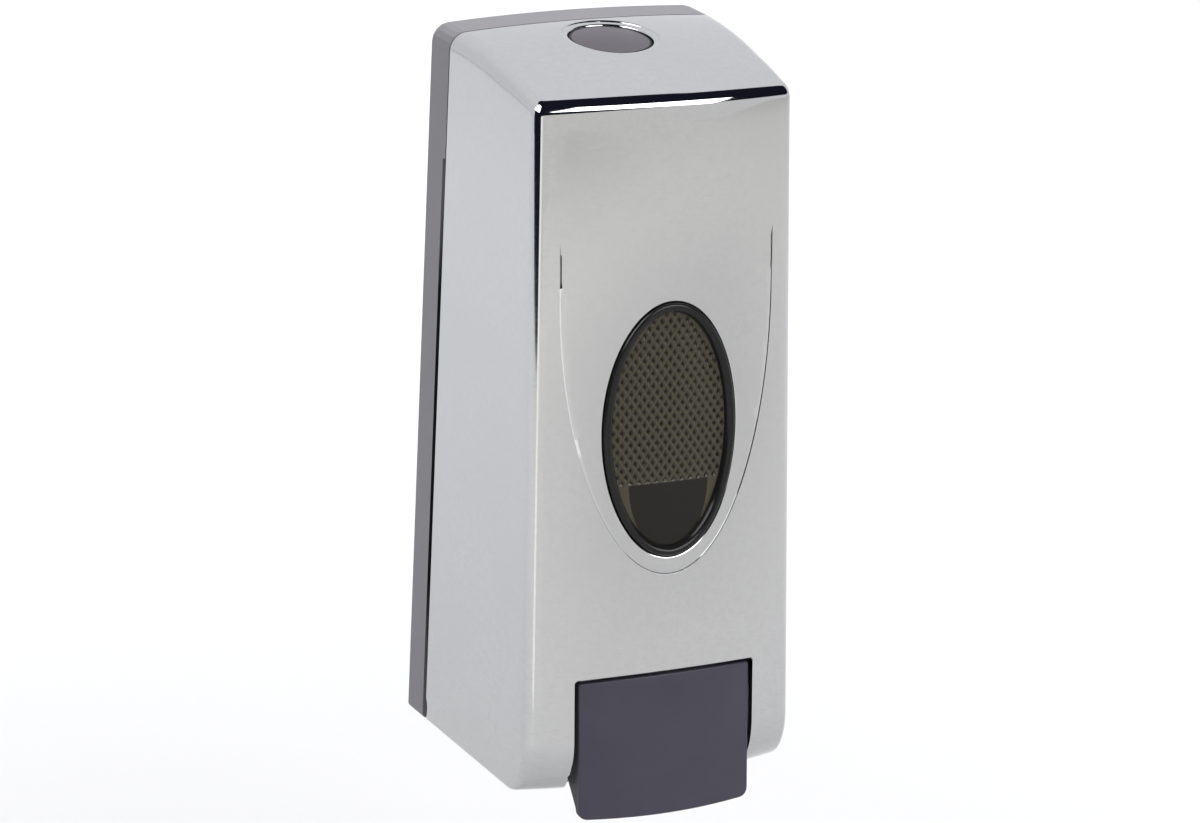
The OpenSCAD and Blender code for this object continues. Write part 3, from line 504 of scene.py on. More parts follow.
def line_cutter():
    """A lopsided V down a straight arm, round the lower half of a tall oval and up the other arm.

    Each section is a triangle: its tip lies at the line's depth, and its two upper corners stand
    off by that depth over the slope of their wall.
    """
    t = np.radians(np.linspace(180, 360, 240))
    arm = np.linspace(ARM_TOP, ARM_FOOT, 30)[:-1]
    left_arm = np.column_stack([0 * arm - ARM_X, arm])
    bow = np.column_stack([ARM_X * np.cos(t), ARM_FOOT + BOW_DROP * np.sin(t)])
    path = np.concatenate([left_arm, bow, left_arm[::-1] * np.array([-1, 1])])
    run = run_along(path)
    from_end = np.minimum(run, run[-1] - run)
    size = np.clip(from_end / END_FADE, END_SIZE, 1)
    steep = 1 - np.clip((from_end - END_RUN) / END_FADE, 0, 1)
    turned = np.degrees(np.arcsin(np.abs(path[:, 0]) / CROWN_R))
    inner_slope = np.tan(np.radians(INNER_DEGREES - turned + END_DEGREES * steep))
    outer_slope = math.tan(math.radians(OUTER_DEGREES))
    deep = (LINE_DEPTH + END_DEPTH * steep) * size
    offset = np.column_stack([-(deep + LINE_RISE) / inner_slope, 0 * run, (deep + LINE_RISE) / outer_slope])
    depth = np.column_stack([0 * run - LINE_RISE, deep, 0 * run - LINE_RISE])
    out = -across(path)
    x, z = (path[:, [k]] + out[:, [k]] * offset for k in (0, 1))
    return new_piece("line_cutter", window_place(x, depth, z), capped_faces(len(path), 3))


combine(cover, line_cutter(), "DIFFERENCE")
print("cover with U line:", len(cover.data.polygons), "faces")

# %% [markdown]
# ## Inside the cover
# The moulding carries its own fittings: two hinge ears, two brackets for the lever's pin,
# four posts for the lens and two for the button's cage. They are simple solids joined to the shell,
# and the foot is cut open where the pump looks out.

# %% Ears and brackets
HINGE_Y, HINGE_H = -7.5, 4.0
EAR_R, EAR_T, EAR_RISE, EAR_ROOT, EAR_GAP, EAR_SHOULDER = 3.5, 3.3, 7.0, 10.0, 0.7, 2.0
EAR_X = CASE_W / 2 - WALL - EAR_GAP - EAR_T
BLOCK_GAP, BLOCK_SIDE, OVERLAP = 0.4, 1.5, 0.02
PIVOT_Y, PIVOT_H = -(CASE_D - 14.0), LEVER_TOP - 4.5
BRACKET_X, BRACKET_T, BRACKET_R, BRACKET_FLARE = LEVER_W / 2 + LEVER_SIDE + 1, 3.0, 4.0, 5.0
INSIDE = 1


def round_end(cy, ch, radius, tail):
    """An outline in (y, height): half a disc towards the rear, closed by the tail's points."""
    a = np.radians(np.linspace(-90, 90, 24))
    return np.concatenate([arc(cy, ch, radius, a), tail])


root, ear_low, ear_high = -(COVER_REAR + EAR_ROOT), HINGE_H - EAR_R, HINGE_H + EAR_RISE
near = -(front_depth(BRACKET_X + BRACKET_T, PIVOT_H) - WALL + BLOCK_GAP)
ear_tail = [[-COVER_REAR - EAR_SHOULDER, ear_high], [root, ear_high], [root, ear_low]]
ear = round_end(HINGE_Y, HINGE_H, EAR_R, ear_tail)
block = [[-COVER_REAR - BLOCK_GAP, ear_low], [-COVER_REAR - BLOCK_GAP, ear_high], [root + OVERLAP, ear_high],
         [root + OVERLAP, ear_low + OVERLAP]]
bracket_tail = [[near, PIVOT_H + BRACKET_FLARE], [near, PIVOT_H - BRACKET_FLARE]]
bracket = round_end(PIVOT_Y, PIVOT_H, BRACKET_R, bracket_tail)
for side in (-1, 1):
    for name, outline, x0, x1 in (
            ("ear", ear, EAR_X, EAR_X + EAR_T),
            ("ear_block", block, EAR_X + OVERLAP, EAR_X + EAR_T + BLOCK_SIDE),
            ("bracket", bracket, BRACKET_X, BRACKET_X + BRACKET_T)):
        combine(cover, prism_x(name, outline, side * x0, side * x1, INSIDE), "UNION")
print("cover with ears and brackets:", len(cover.data.polygons), "faces")

# %% Posts for the lens and the button's cage
LENS_BACK, LENS_LIP, LENS_SCREW_OUT, LENS_SCREW_TURN = 3.8, 3.0, 3.2, math.radians(50)
LENS_SCREW_X = (WINDOW_W / 2 + LENS_LIP + LENS_SCREW_OUT) * math.cos(LENS_SCREW_TURN)
LENS_SCREW_Z = (WINDOW_H / 2 + LENS_LIP + LENS_SCREW_OUT) * math.sin(LENS_SCREW_TURN)
LENS_POST_R = 2.6
CAGE_POST_X, CAGE_POST_R, CAGE_POST_TOP, CAGE_POST_FOOT = 19.0 + 0.4, 2.8, 1.6, 9.0


def cage_place(x, depth, y):
    """The button's frame with depth measured down from the top."""
    return button_place(x, y, -depth)


def posts(name, place, centres, radius, low, high):
    """Round posts standing in a tilted frame; place turns that frame's points into the case's."""
    a = turn_angles(28)
    made, faces = [], []
    for cx, cz in centres:
        ring_x, ring_z = cx + radius * np.cos(a), cz + radius * np.sin(a)
        ends = [place(ring_x, np.full(a.size, t), ring_z) for t in (low, high)]
        faces += [[i + len(made) * 2 * a.size for i in f] for f in capped_faces(2, a.size)]
        made.append(np.concatenate(ends))
    return new_piece(name, np.concatenate(made), faces, [INSIDE] * len(faces))


corners = [(sx * LENS_SCREW_X, sz * LENS_SCREW_Z) for sx in (-1, 1) for sz in (-1, 1)]
combine(cover, posts("lens_posts", window_place, corners, LENS_POST_R, WALL / 2, LENS_BACK), "UNION")
sides = [(-CAGE_POST_X, 0), (CAGE_POST_X, 0)]
combine(cover, posts("cage_posts", cage_place, sides, CAGE_POST_R, CAGE_POST_TOP, CAGE_POST_FOOT), "UNION")
print("cover with", len(corners) + len(sides), "posts:", len(cover.data.polygons), "faces")

# %% Open foot, pin holes and room to swing
HINGE_PIN_R, RUN, DISC_STEPS = 1.5, 0.06, 48
RELIEF_R = math.hypot(PLATE_D + HINGE_Y, HINGE_H) + 0.15
PIN_OVER, LUG_WIDTH, RELIEF_GAP, RIM_OVER = 1.0, 4.0, 0.2, 2.0
FOOT_BAR, FOOT_SIDE, FOOT_LOW, FOOT_HIGH = 4.0, 3.0, -5.0, WALL + 1
foot_rear, foot_front = 0.0, -(CASE_D - FOOT_D) + FOOT_BAR
foot_box = [[foot_front, FOOT_LOW], [foot_rear, FOOT_LOW], [foot_rear, FOOT_HIGH], [foot_front, FOOT_HIGH]]
foot_cutter = prism_x("foot_cutter", foot_box, -EAR_X + FOOT_SIDE, EAR_X - FOOT_SIDE, INSIDE)
combine(cover, foot_cutter, "DIFFERENCE")
for side in (-1, 1):
    for name, x0, x1, r in (
            ("pin_cutter", EAR_X - PIN_OVER, EAR_X + EAR_T + PIN_OVER, HINGE_PIN_R + RUN),
            ("lug_relief", EAR_X - LUG_WIDTH, EAR_X - RELIEF_GAP, RELIEF_R),
            ("rim_relief", CASE_W / 2 - WALL - RELIEF_GAP, CASE_W / 2 + RIM_OVER, RELIEF_R)):
        disc = arc(HINGE_Y, HINGE_H, r, turn_angles(DISC_STEPS))
        combine(cover, prism_x(name, disc, side * x0, side * x1, INSIDE), "DIFFERENCE")
smooth(cover, 15)
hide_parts("front_cover")
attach(cover, "cover")
print("finished cover:", len(cover.data.polygons), "faces")

# %% [markdown]
# ## The smoked window
# The lens is a gloss black oval ring round a sunken pane. The pane is moulded with a lattice of small
# four-sided dimples that stops at a straight line, and is plain below it.
# One grid makes it all: rings follow the oval, first round the rim's profile and then in to the middle.
# The dimple pattern is worked out for every point, moves it, and is kept as an attribute for the finish.

# %% Window lens
CELL_X, CELL_Z = 2.75, 3.8
LATTICE_FOOT, LATTICE_FADE, DIMPLE_DEPTH = 94.0 - WINDOW_Z, 0.8, 0.45
PANE_DEPTH, PANE_BACK, PANE_RINGS, EDGE_FADE = 1.4, 3.8, 110, 40
RING_STEPS, BACK_STRIDE = 420, 27


def dimple(x, z):
    """0 on the lattice's ridges, 1 in the middle of a dimple: the nearer of two slanted sets of lines."""
    a = x / CELL_X + z / CELL_Z
    b = x / CELL_X - z / CELL_Z
    away = [2 * np.abs(q - np.round(q)) for q in (a, b)]
    return np.minimum(*away)


def lens_piece():
    """Rings from the back of the flange round the rim and over the pane to its middle.

    A ring is an oval: half the window's width and height plus the rim profile's offset, and then
    ever smaller shares of the last ring. The dimples sink the pane by their depth.
    """
    flange = [[-6.0, PANE_BACK], [3.0, PANE_BACK], [3.0, 2.5], [0.0, 2.5]]
    outside = [[0.0, 0.2], [-0.06, -0.2], [-0.25, -0.52], [-0.55, -0.72], [-0.95, -0.8], [-1.45, -0.78]]
    inside = [[-1.95, -0.62], [-2.4, -0.28], [-2.75, 0.25], [-2.95, 0.85], [-3.05, 1.25], [-3.25, PANE_DEPTH]]
    rim = np.array(flange + outside + inside)
    a = turn_angles(RING_STEPS)[None, :]
    rim_x = (WINDOW_W / 2 + rim[:, :1]) * np.cos(a)
    rim_z = (WINDOW_H / 2 + rim[:, :1]) * np.sin(a)
    share = np.linspace(1, 0, PANE_RINGS)[1:, None]
    pane_x, pane_z = share * rim_x[-1:], share * rim_z[-1:]
    fade = np.clip((pane_z - LATTICE_FOOT) / LATTICE_FADE, 0, 1) * np.clip((1 - share) * EDGE_FADE, 0, 1)
    pane_depth = PANE_DEPTH + DIMPLE_DEPTH * dimple(pane_x, pane_z) * fade
    back_x, back_z = share[::BACK_STRIDE] * rim_x[:1], share[::BACK_STRIDE] * rim_z[:1]
    x = np.concatenate([back_x[::-1], rim_x, pane_x])
    z = np.concatenate([back_z[::-1], rim_z, pane_z])
    depth = np.concatenate([0 * back_x + PANE_BACK, rim[:, 1:] + 0 * rim_x, pane_depth])
    faces = grid_faces(len(x), RING_STEPS, wrap=True)
    return new_piece("smoked_window", window_place(x, depth, z), faces)


lens = lens_piece()
smooth(lens, 30)
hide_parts("window_lens")
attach(lens, "cover")
print("window:", len(lens.data.polygons), "faces")

# %% Where the lens is pane, lattice or plain
PANE_INSET, PLAIN_TONE = 3.1, 0.05
CRESCENT_W, CRESCENT_H = 3.4, 14.0


def keep_values(piece, name, values):
    """Keeps one number for each point of a piece, for its finish to read."""
    kept = piece.data.attributes.new(name, "FLOAT", "POINT")
    kept.data.foreach_set("value", np.asarray(values, np.float32))


lean = math.radians(LEAN_DEGREES)
pane_x, pane_y, pane_h = case_points(lens).T
pane_up = (pane_y - WINDOW_Y) * math.sin(lean) + (pane_h - WINDOW_Z) * math.cos(lean)
pane_w, pane_tall = WINDOW_W / 2 - PANE_INSET, WINDOW_H / 2 - PANE_INSET
below_line = LATTICE_FOOT - pane_up
half_pane = pane_w * np.sqrt(np.clip(1 - (pane_up / pane_tall) ** 2, 0, 1))
crescent = np.clip(CRESCENT_W * (1 - below_line / CRESCENT_H), 0, CRESCENT_W)
keep_values(lens, "dimple", np.where(pane_up > LATTICE_FOOT, dimple(pane_x, pane_up), PLAIN_TONE))
keep_values(lens, "plain_patch", (below_line > 0) * (np.abs(pane_x) < half_pane - crescent))
keep_values(lens, "pane", np.hypot(pane_x / pane_w, pane_up / pane_tall) < 1)
print("lens attributes:", [a.name for a in lens.data.attributes if a.data_type == "FLOAT"])

# %% [markdown]
# ## The push lever
# The lever is a thin curved plate with soft edges, hung from a pin near its top. Two cheeks carry the pin,
# a nose on a rib pushes the pump, and two cross ribs stiffen the plate.
# The plate is rings again: its outline, rounded over at the front and then drawn in to the middle.

# %% Lever plate
LEVER_WALL, LEVER_LEAN, LEVER_R, LEVER_EDGE = 2.6, math.radians(5.6), 140.0, 0.5
LEVER_FACE = float(front_depth(0, LEVER_TOP)) - 0.4
LEVER_CORNER, LEVER_TOP_CORNER, LEAST_CORNER, OUTLINE_STEPS = 2.6, 0.8, 0.15, 200


def lever_depth(x, h):
    """Depth of the lever's face: a barrel about a leaning line."""
    bow = LEVER_R - np.sqrt(LEVER_R**2 - np.asarray(x, float) ** 2)
    return LEVER_FACE + (LEVER_TOP - h) * math.tan(LEVER_LEAN) - bow / math.cos(LEVER_LEAN)


def resample(ring, count):
    """The same closed outline with evenly spaced points."""
    closed = np.concatenate([ring, ring[:1]])
    run = run_along(closed)
    s = np.linspace(0, run[-1], count, endpoint=False)
    return np.column_stack([np.interp(s, run, closed[:, 0]), np.interp(s, run, closed[:, 1])])


def lever_outline(inset):
    """Points round the lever from the front, set in by a distance: arched top, bowed foot, round corners."""
    w = LEVER_W / 2 - inset
    top_r, low_r = np.maximum(LEAST_CORNER, np.array([LEVER_TOP_CORNER, LEVER_CORNER]) - inset)
    top, low = LEVER_TOP - inset, -LEVER_DROP + LEVER_BOW + inset
    turn = np.radians(np.linspace(0, 90, 10))
    top_turn = arc(w - top_r, top - top_r, top_r, turn)
    low_turn = arc(w - low_r, low + low_r, low_r, turn - np.pi / 2)
    t = np.linspace(1, -1, 30)[1:-1]
    arch = np.column_stack([(w - top_r) * t, top + LEVER_ARCH * (1 - t**2)])
    bow = np.column_stack([-(w - low_r) * t, low - LEVER_BOW * (1 - t**2)])
    left_side = np.concatenate([top_turn[::-1], low_turn[::-1]]) * np.array([-1, 1])
    return resample(np.concatenate([low_turn, top_turn, arch, left_side, bow]), OUTLINE_STEPS)


def lever_plate():
    """Rings from the middle of the back, out round the rolled edge, and in to the middle of the face."""
    b = np.radians(np.linspace(0, 90, 7))
    roll = np.column_stack([LEVER_EDGE * (1 - np.cos(b)), LEVER_EDGE * (1 - np.sin(b))])
    rings = [(LEVER_EDGE, LEVER_WALL), (0.0, LEVER_WALL - LEVER_EDGE)] + [tuple(p) for p in roll]
    outer = [(lever_outline(i), d) for i, d in rings]
    middle = np.array([0.0, (LEVER_TOP - LEVER_DROP) / 2])
    shares = np.linspace(1, 0, 16)[1:]
    back_rings = [(middle + s * (outer[0][0] - middle), LEVER_WALL) for s in shares[::-1]]
    face_rings = [(middle + s * (outer[-1][0] - middle), 0.0) for s in shares]
    points = np.stack([np.column_stack([p[:, 0], d - lever_depth(p[:, 0], p[:, 1]), p[:, 1]])
                       for p, d in back_rings + outer + face_rings])
    return new_piece("slate_lever", points, grid_faces(len(points), OUTLINE_STEPS, wrap=True))


lever = lever_plate()
print("lever plate:", len(lever.data.polygons), "faces")

# %% Cheeks, nose and ribs of the lever
CHEEK_T, CHEEK_IN, CHEEK_LOW, CHEEK_HIGH = 2.4, 0.25, -LEVER_DROP + LEVER_BOW + LEVER_CORNER, LEVER_TOP - 0.6
NOSE_R, NOSE_HALF, NOSE_FLARE = 3.0, 4.0, 1.0
RIB_SINK, RIB_DEPTH, RIB_T, RIB_HEIGHTS = 1.2, 3.9, 1.8, (4.0, 24.0)
LEVER_PIN_R = 1.5
PUMP_H = PIVOT_H - 17
SHADE_FROM, SHADE_RUN, SHADE_X = 0.4, 0.8, 30


def cheek_outline():
    """Side view of a cheek: its front follows the plate, its rear steps in below the pivot."""
    h = np.linspace(CHEEK_LOW, CHEEK_HIGH, 20)
    front = np.column_stack([RIB_SINK - lever_depth(LEVER_W / 2 - CHEEK_T, h), h])
    rear = [[PIVOT_Y - 2, CHEEK_HIGH], [PIVOT_Y + 4, PIVOT_H + 2], [PIVOT_Y + 4, PIVOT_H - 4],
            [PIVOT_Y - 1, 6], [PIVOT_Y - 9, CHEEK_LOW + 0.1]]
    return np.concatenate([front, rear])


def cross_rib(low):
    """A rib across the lever: its front follows the plate's curve, and it stands up from one height."""
    x = np.linspace(-LEVER_W / 2 + RIB_SINK, LEVER_W / 2 - RIB_SINK, 40)
    front = -lever_depth(x, low) + RIB_SINK
    ring = np.concatenate([np.column_stack([x, front]), np.column_stack([x, front + RIB_DEPTH])[::-1]])
    levels = [np.column_stack([ring, np.full(len(ring), h)]) for h in (low, low + RIB_T)]
    return new_piece("cross_rib", np.concatenate(levels), capped_faces(2, len(ring)))


face_mid, flare = RIB_SINK - float(lever_depth(0, PUMP_H)), NOSE_R + NOSE_FLARE
nose = round_end(PIVOT_Y - NOSE_R, PUMP_H, NOSE_R, [[face_mid, PUMP_H + flare], [face_mid, PUMP_H - flare]])
cheek_x = np.array([LEVER_W / 2 - CHEEK_IN, LEVER_W / 2 - CHEEK_T])
additions = [prism_x("nose", nose, -NOSE_HALF, NOSE_HALF)]
additions += [prism_x("cheek", cheek_outline(), *(side * cheek_x)) for side in (-1, 1)]
additions += [cross_rib(low) for low in RIB_HEIGHTS]
for addition in additions:
    combine(lever, addition, "UNION")
pin_hole = arc(PIVOT_Y, PIVOT_H, LEVER_PIN_R + RUN, turn_angles(DISC_STEPS))
combine(lever, prism_x("pin_hole", pin_hole, -CASE_W, CASE_W), "DIFFERENCE")
smooth(lever, 28)
# Painted shade: how far each point lies behind the face, ramped from 0 to 1 for the finish to darken the
# sides and cheeks.
lever_x, lever_y, lever_h = case_points(lever).T
behind = lever_y + lever_depth(np.clip(lever_x, -SHADE_X, SHADE_X), lever_h)
keep_values(lever, "painted_shade_behind_face", np.clip((behind - SHADE_FROM) / SHADE_RUN, 0, 1))
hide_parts("push_lever")
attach(lever, "lever")
print("lever:", len(lever.data.polygons), "faces")

# %% [markdown] ## The two springs A compression spring closes up as it is pressed, so the CAD's stiff
# coils are made again. Each is a tube of round wire along a helix.

# %% Springs
CHAMBER_END, PUMP_COIL, PUMP_STROKE = -38.0, 17.0, 4.8
CAGE_FLOOR, BUTTON_COIL, BUTTON_TRAVEL = -14.4, 9.4, 4.5


def coil(name, radius, wire, length, turns, place, per_turn=36, sides=10):
    """Rings of the wire, turned square to a helix: angle a runs round the axis and angle b round the wire."""
    a = np.linspace(0, 2 * np.pi * turns, turns * per_turn + 1)[:, None]
    b = turn_angles(sides)[None, :]
    climb = math.atan((length - 2 * wire) / (2 * np.pi * radius * turns))
    out, rise = radius + wire * np.cos(b), wire * np.sin(b)
    x = out * np.cos(a) + rise * math.sin(climb) * np.sin(a)
    y = out * np.sin(a) - rise * math.sin(climb) * np.cos(a)
    z = wire + (length - 2 * wire) * a / a[-1] + rise * math.cos(climb)
    made = new_piece(name, place(x, y, z), capped_faces(len(a), sides))
    smooth(made, 40)
    return made


def pump_place(x, y, z):
    """The coil's axis laid along the pump, forward from the end of its chamber."""
    return np.stack([x, CHAMBER_END - z, PUMP_H + y], -1)


def cage_floor_place(x, y, z):
    """The coil's axis along the button's, up from the floor of its cage."""
    return button_place(x, y, CAGE_FLOOR + z)


pump_coil = coil("pump_coil", radius=5.4, wire=0.55, length=PUMP_COIL, turns=6, place=pump_place)
button_coil = coil("button_coil", radius=9.0, wire=0.6, length=BUTTON_COIL, turns=4, place=cage_floor_place)
button_axis = (0.0, -math.sin(BUTTON_TILT), math.cos(BUTTON_TILT))
for piece, node_name, body, joint, axis, still, keep in (
        (pump_coil, "pump_spring", "wall_unit", "pump_stroke", (0.0, 1.0, 0.0),
         pump_place(0, 0, 0), 1 - PUMP_STROKE / PUMP_COIL),
        (button_coil, "button_spring", "cover", "button_press", button_axis,
         cage_floor_place(0, 0, 0), 1 - BUTTON_TRAVEL / BUTTON_COIL)):
    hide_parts(node_name)
    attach(piece, body)
    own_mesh(piece)
    low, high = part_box(node_name)
    size = [round((b - a) / MM, 1) for a, b in zip(low, high)]
    print(piece.name, "stands in", size, "mm, keeps", round(keep, 3))

# %% [markdown]
# ## Nodes
# Every finish is a small net of nodes, and so is the room round the part. One class makes nodes,
# sets them and joins them, so that each finish below reads as a recipe.

# %% Node helper


class Nodes:
    """A node tree with short-hands for making, setting and joining nodes."""

    def __init__(self, tree):
        self.tree = tree

    def node(self, kind, inputs=(), **options):
        """A new node with its options set and its inputs fed, each by its name or number."""
        made = self.tree.nodes.new("ShaderNode" + kind)
        for label, value in options.items():
            setattr(made, label, value)
        for label, value in dict(inputs).items():
            self.feed(made.inputs[label], value)
        return made

    def feed(self, socket, value):
        """Joins another node's output to an input, or sets a plain number, vector or colour there."""
        if isinstance(value, bpy.types.NodeSocket):
            self.tree.links.new(value, socket)
        else:
            socket.default_value = (*value, 1) if socket.type == "RGBA" else value

    def math(self, operation, *values):
        """One step of arithmetic on outputs or numbers."""
        return self.node("Math", enumerate(values), operation=operation).outputs[0]

    def spread(self, source, low, high, start=0.3, end=0.7, kind="LINEAR"):
        """Maps start to end onto low to high, and stays at low or high outside."""
        inputs = {"Value": source, "From Min": start, "From Max": end, "To Min": low, "To Max": high}
        return self.node("MapRange", inputs, interpolation_type=kind).outputs["Result"]

    def step(self, source, start, end):
        """0 before start, 1 after end, smooth between."""
        return self.spread(source, 0, 1, start, end, "SMOOTHSTEP")

    def mix(self, mask, first, second):
        """The first colour where a mask is 0, the second where it is 1."""
        return self.node("Mix", {0: mask, 6: first, 7: second}, data_type="RGBA").outputs[2]

    def ramp(self, source, stops):
        """Colours by a value from 0 to 1, given as pairs of value and colour."""
        made = self.node("ValToRGB", {"Fac": source})
        elements = made.color_ramp.elements
        while len(elements) < len(stops):
            elements.new(0.5)
        for element, (value, colour) in zip(elements, stops):
            element.position = value
            element.color = (*colour, 1)
        return made.outputs["Color"]

    def axes(self, vector):
        """A vector's X, Y and Z."""
        return self.node("SeparateXYZ", {0: vector}).outputs

    def distance(self, vector, point):
        """How far a place is from a fixed point."""
        return self.node("VectorMath", {0: vector, 1: point}, operation="DISTANCE").outputs["Value"]


print("node helper:", [name for name in vars(Nodes) if not name.startswith("_")])

# %% [markdown]
# ## Two shared effects
# Two effects are used by more than one finish, so each is a node group: the fine grain that a spark-eroded
# mould leaves on plastic, and the slow clouding that handling and wiping leave on any surface.
# Both read Object coordinates, so they stay on the piece when it moves.

# %% Node groups
FINER = 2.7
STREAK_TURN, STREAK_SCALE, STREAK_RANGE = (0.0, 0.6, 0.0), (260.0, 260.0, 2600.0), (0.56, 0.74)


def new_group(name, size_label, size, outs):
    """A shader group that reads a place and a size, with named values to put out."""
    group = bpy.data.node_groups.new(name, "ShaderNodeTree")
    sockets = group.interface
    sockets.new_socket("Vector", in_out="INPUT", socket_type="NodeSocketVector")
    sockets.new_socket(size_label, in_out="INPUT", socket_type="NodeSocketFloat").default_value = size
    for label in outs:
        sockets.new_socket(label, in_out="OUTPUT", socket_type="NodeSocketFloat")
    place, per_metre = group.nodes.new("NodeGroupInput").outputs[:2]
    return Nodes(group), place, per_metre, group.nodes.new("NodeGroupOutput").inputs


def grain_group():
    """Height of a fine moulded grain: two sizes of noise added together."""
    net, place, size, end = new_group("moulded_grain", "Size per metre", 2500.0, ["Height"])
    coarse = net.node("TexNoise", {"Vector": place, "Scale": size, "Detail": 2.0})
    fine = net.node("TexNoise", {"Vector": place, "Scale": net.math("MULTIPLY", size, FINER)})
    net.feed(end["Height"], net.math("ADD", coarse.outputs["Fac"], fine.outputs["Fac"]))
    return net.tree


def handling_group():
    """Slow clouding, and thin streaks that run mostly one way, both from 0 to 1."""
    net, place, size, end = new_group("handling", "Clouds per metre", 30.0, ["Clouding", "Streaks"])
    cloud = net.node("TexNoise", {"Vector": place, "Scale": size, "Detail": 5.0})
    drawn = net.node("Mapping", {"Vector": place, "Rotation": STREAK_TURN, "Scale": STREAK_SCALE})
    streak = net.node("TexNoise", {"Vector": drawn.outputs["Vector"], "Scale": 1.0, "Detail": 3.0})
    net.feed(end["Clouding"], cloud.outputs["Fac"])
    net.feed(end["Streaks"], net.spread(streak.outputs["Fac"], 0, 1, *STREAK_RANGE))
    return net.tree


GRAIN, HANDLING = grain_group(), handling_group()
print("groups:", [(group.name, len(group.nodes)) for group in (GRAIN, HANDLING)])

# %% [markdown]
# ## Bright plating and moulded plastics
# Chromium sends back a little over half of the light that falls on it, so its colour is a mid grey
# and the room does the rest. Real plating is never flat: wiping clouds it and leaves hair-fine streaks.
# The plastics share one recipe: two close tones mixed by the clouding, grain for the bump, satin roughness.

# %% A finish


class Finish(Nodes):
    """A material with its shader, its Object coordinates and what most finishes do with them."""

    def __init__(self, name):
        self.material = bpy.data.materials.new(name)
        self.material.use_nodes = True
        super().__init__(self.material.node_tree)
        self.shader = self.tree.nodes["Principled BSDF"]
        self.place = self.node("TexCoord").outputs["Object"]

    def set(self, **inputs):
        """Feeds the shader's inputs; an underscore stands for a space in their names."""
        for label, value in inputs.items():
            self.feed(self.shader.inputs[label.replace("_", " ")], value)

    def grain(self, per_metre):
        """Height of the moulded grain."""
        inputs = {"Vector": self.place, "Size per metre": per_metre}
        return self.node("Group", node_tree=GRAIN, inputs=inputs).outputs["Height"]

    def handling(self, per_metre):
        """Clouding and streaks."""
        inputs = {"Vector": self.place, "Clouds per metre": per_metre}
        return tuple(self.node("Group", node_tree=HANDLING, inputs=inputs).outputs)

    def attribute(self, name):
        """One of the piece's own attributes as a value."""
        return self.node("Attribute", attribute_name=name).outputs["Fac"]

    def bump(self, height, strength, distance):
        """Lets a height tilt the surface."""
        made = self.node("Bump", {"Strength": strength, "Distance": distance, "Height": height})
        self.set(Normal=made.outputs["Normal"])

    def darken(self, mask, colour):
        """Mixes a colour over whatever feeds the shader's Base Color, by a mask."""
        under = self.shader.inputs["Base Color"].links[0].from_socket
        self.set(Base_Color=self.mix(mask, under, colour))


def plating(name, tint, rough_low, rough_high):
    """Bright plate: a plain metal with clouding and streaks in its roughness."""
    f = Finish(name)
    clouding, streaks = f.handling(24.0)
    clouded = tuple(0.95 * c for c in tint)
    rough = f.math("MULTIPLY_ADD", streaks, 0.05, f.spread(clouding, rough_low, rough_high))
    f.set(Metallic=1.0, Base_Color=f.mix(f.spread(clouding, 0, 1), clouded, tint), Roughness=rough)
    f.bump(clouding, 0.03, 0.001)
    return f


def moulding(name, first, second, rough, grain=2600.0, bump=0.12, gloss=0.5):
    """Moulded plastic: two close tones, satin roughness, fine grain."""
    f = Finish(name)
    clouding = f.handling(45.0)[0]
    f.set(Base_Color=f.mix(f.spread(clouding, 0, 1), first, second), Specular_IOR_Level=gloss,
          Roughness=f.spread(clouding, rough - 0.05, rough + 0.06))
    f.bump(f.grain(grain), bump, 0.0002)
    return f


chrome = plating("bright_chrome", (0.512, 0.515, 0.520), 0.035, 0.075)
print("chrome:", len(chrome.tree.nodes), "nodes")

# %% Finish recipes
inside_plate = moulding("dull_inside", (0.085, 0.086, 0.090), (0.105, 0.106, 0.110), 0.5)
steel = plating("bright_steel", (0.56, 0.56, 0.555), 0.16, 0.26)
grey = moulding("satin_grey", (0.200, 0.195, 0.212), (0.228, 0.222, 0.240), 0.45, gloss=0.3)
plate_grey = moulding("plate_grey", (0.172, 0.167, 0.182), (0.196, 0.191, 0.206), 0.45, gloss=0.3)
slate = moulding("satin_slate", (0.047, 0.044, 0.063), (0.056, 0.052, 0.074), 0.42, gloss=0.3)
button_grey = moulding("button_grey", (0.080, 0.076, 0.086), (0.095, 0.090, 0.101), 0.5, gloss=0.2)
white = moulding("white_acetal", (0.72, 0.72, 0.69), (0.78, 0.78, 0.75), 0.34, bump=0.05)
rubber = moulding("black_rubber", (0.018, 0.018, 0.019), (0.028, 0.028, 0.029), 0.62, grain=1500.0, bump=0.25)
tank = moulding("milky_tank", (0.66, 0.68, 0.62), (0.74, 0.755, 0.70), 0.36, grain=900.0, bump=0.08)
tank.set(Subsurface_Weight=0.25, Subsurface_Radius=(0.004, 0.004, 0.003))
print("finishes:", [m.name for m in bpy.data.materials])
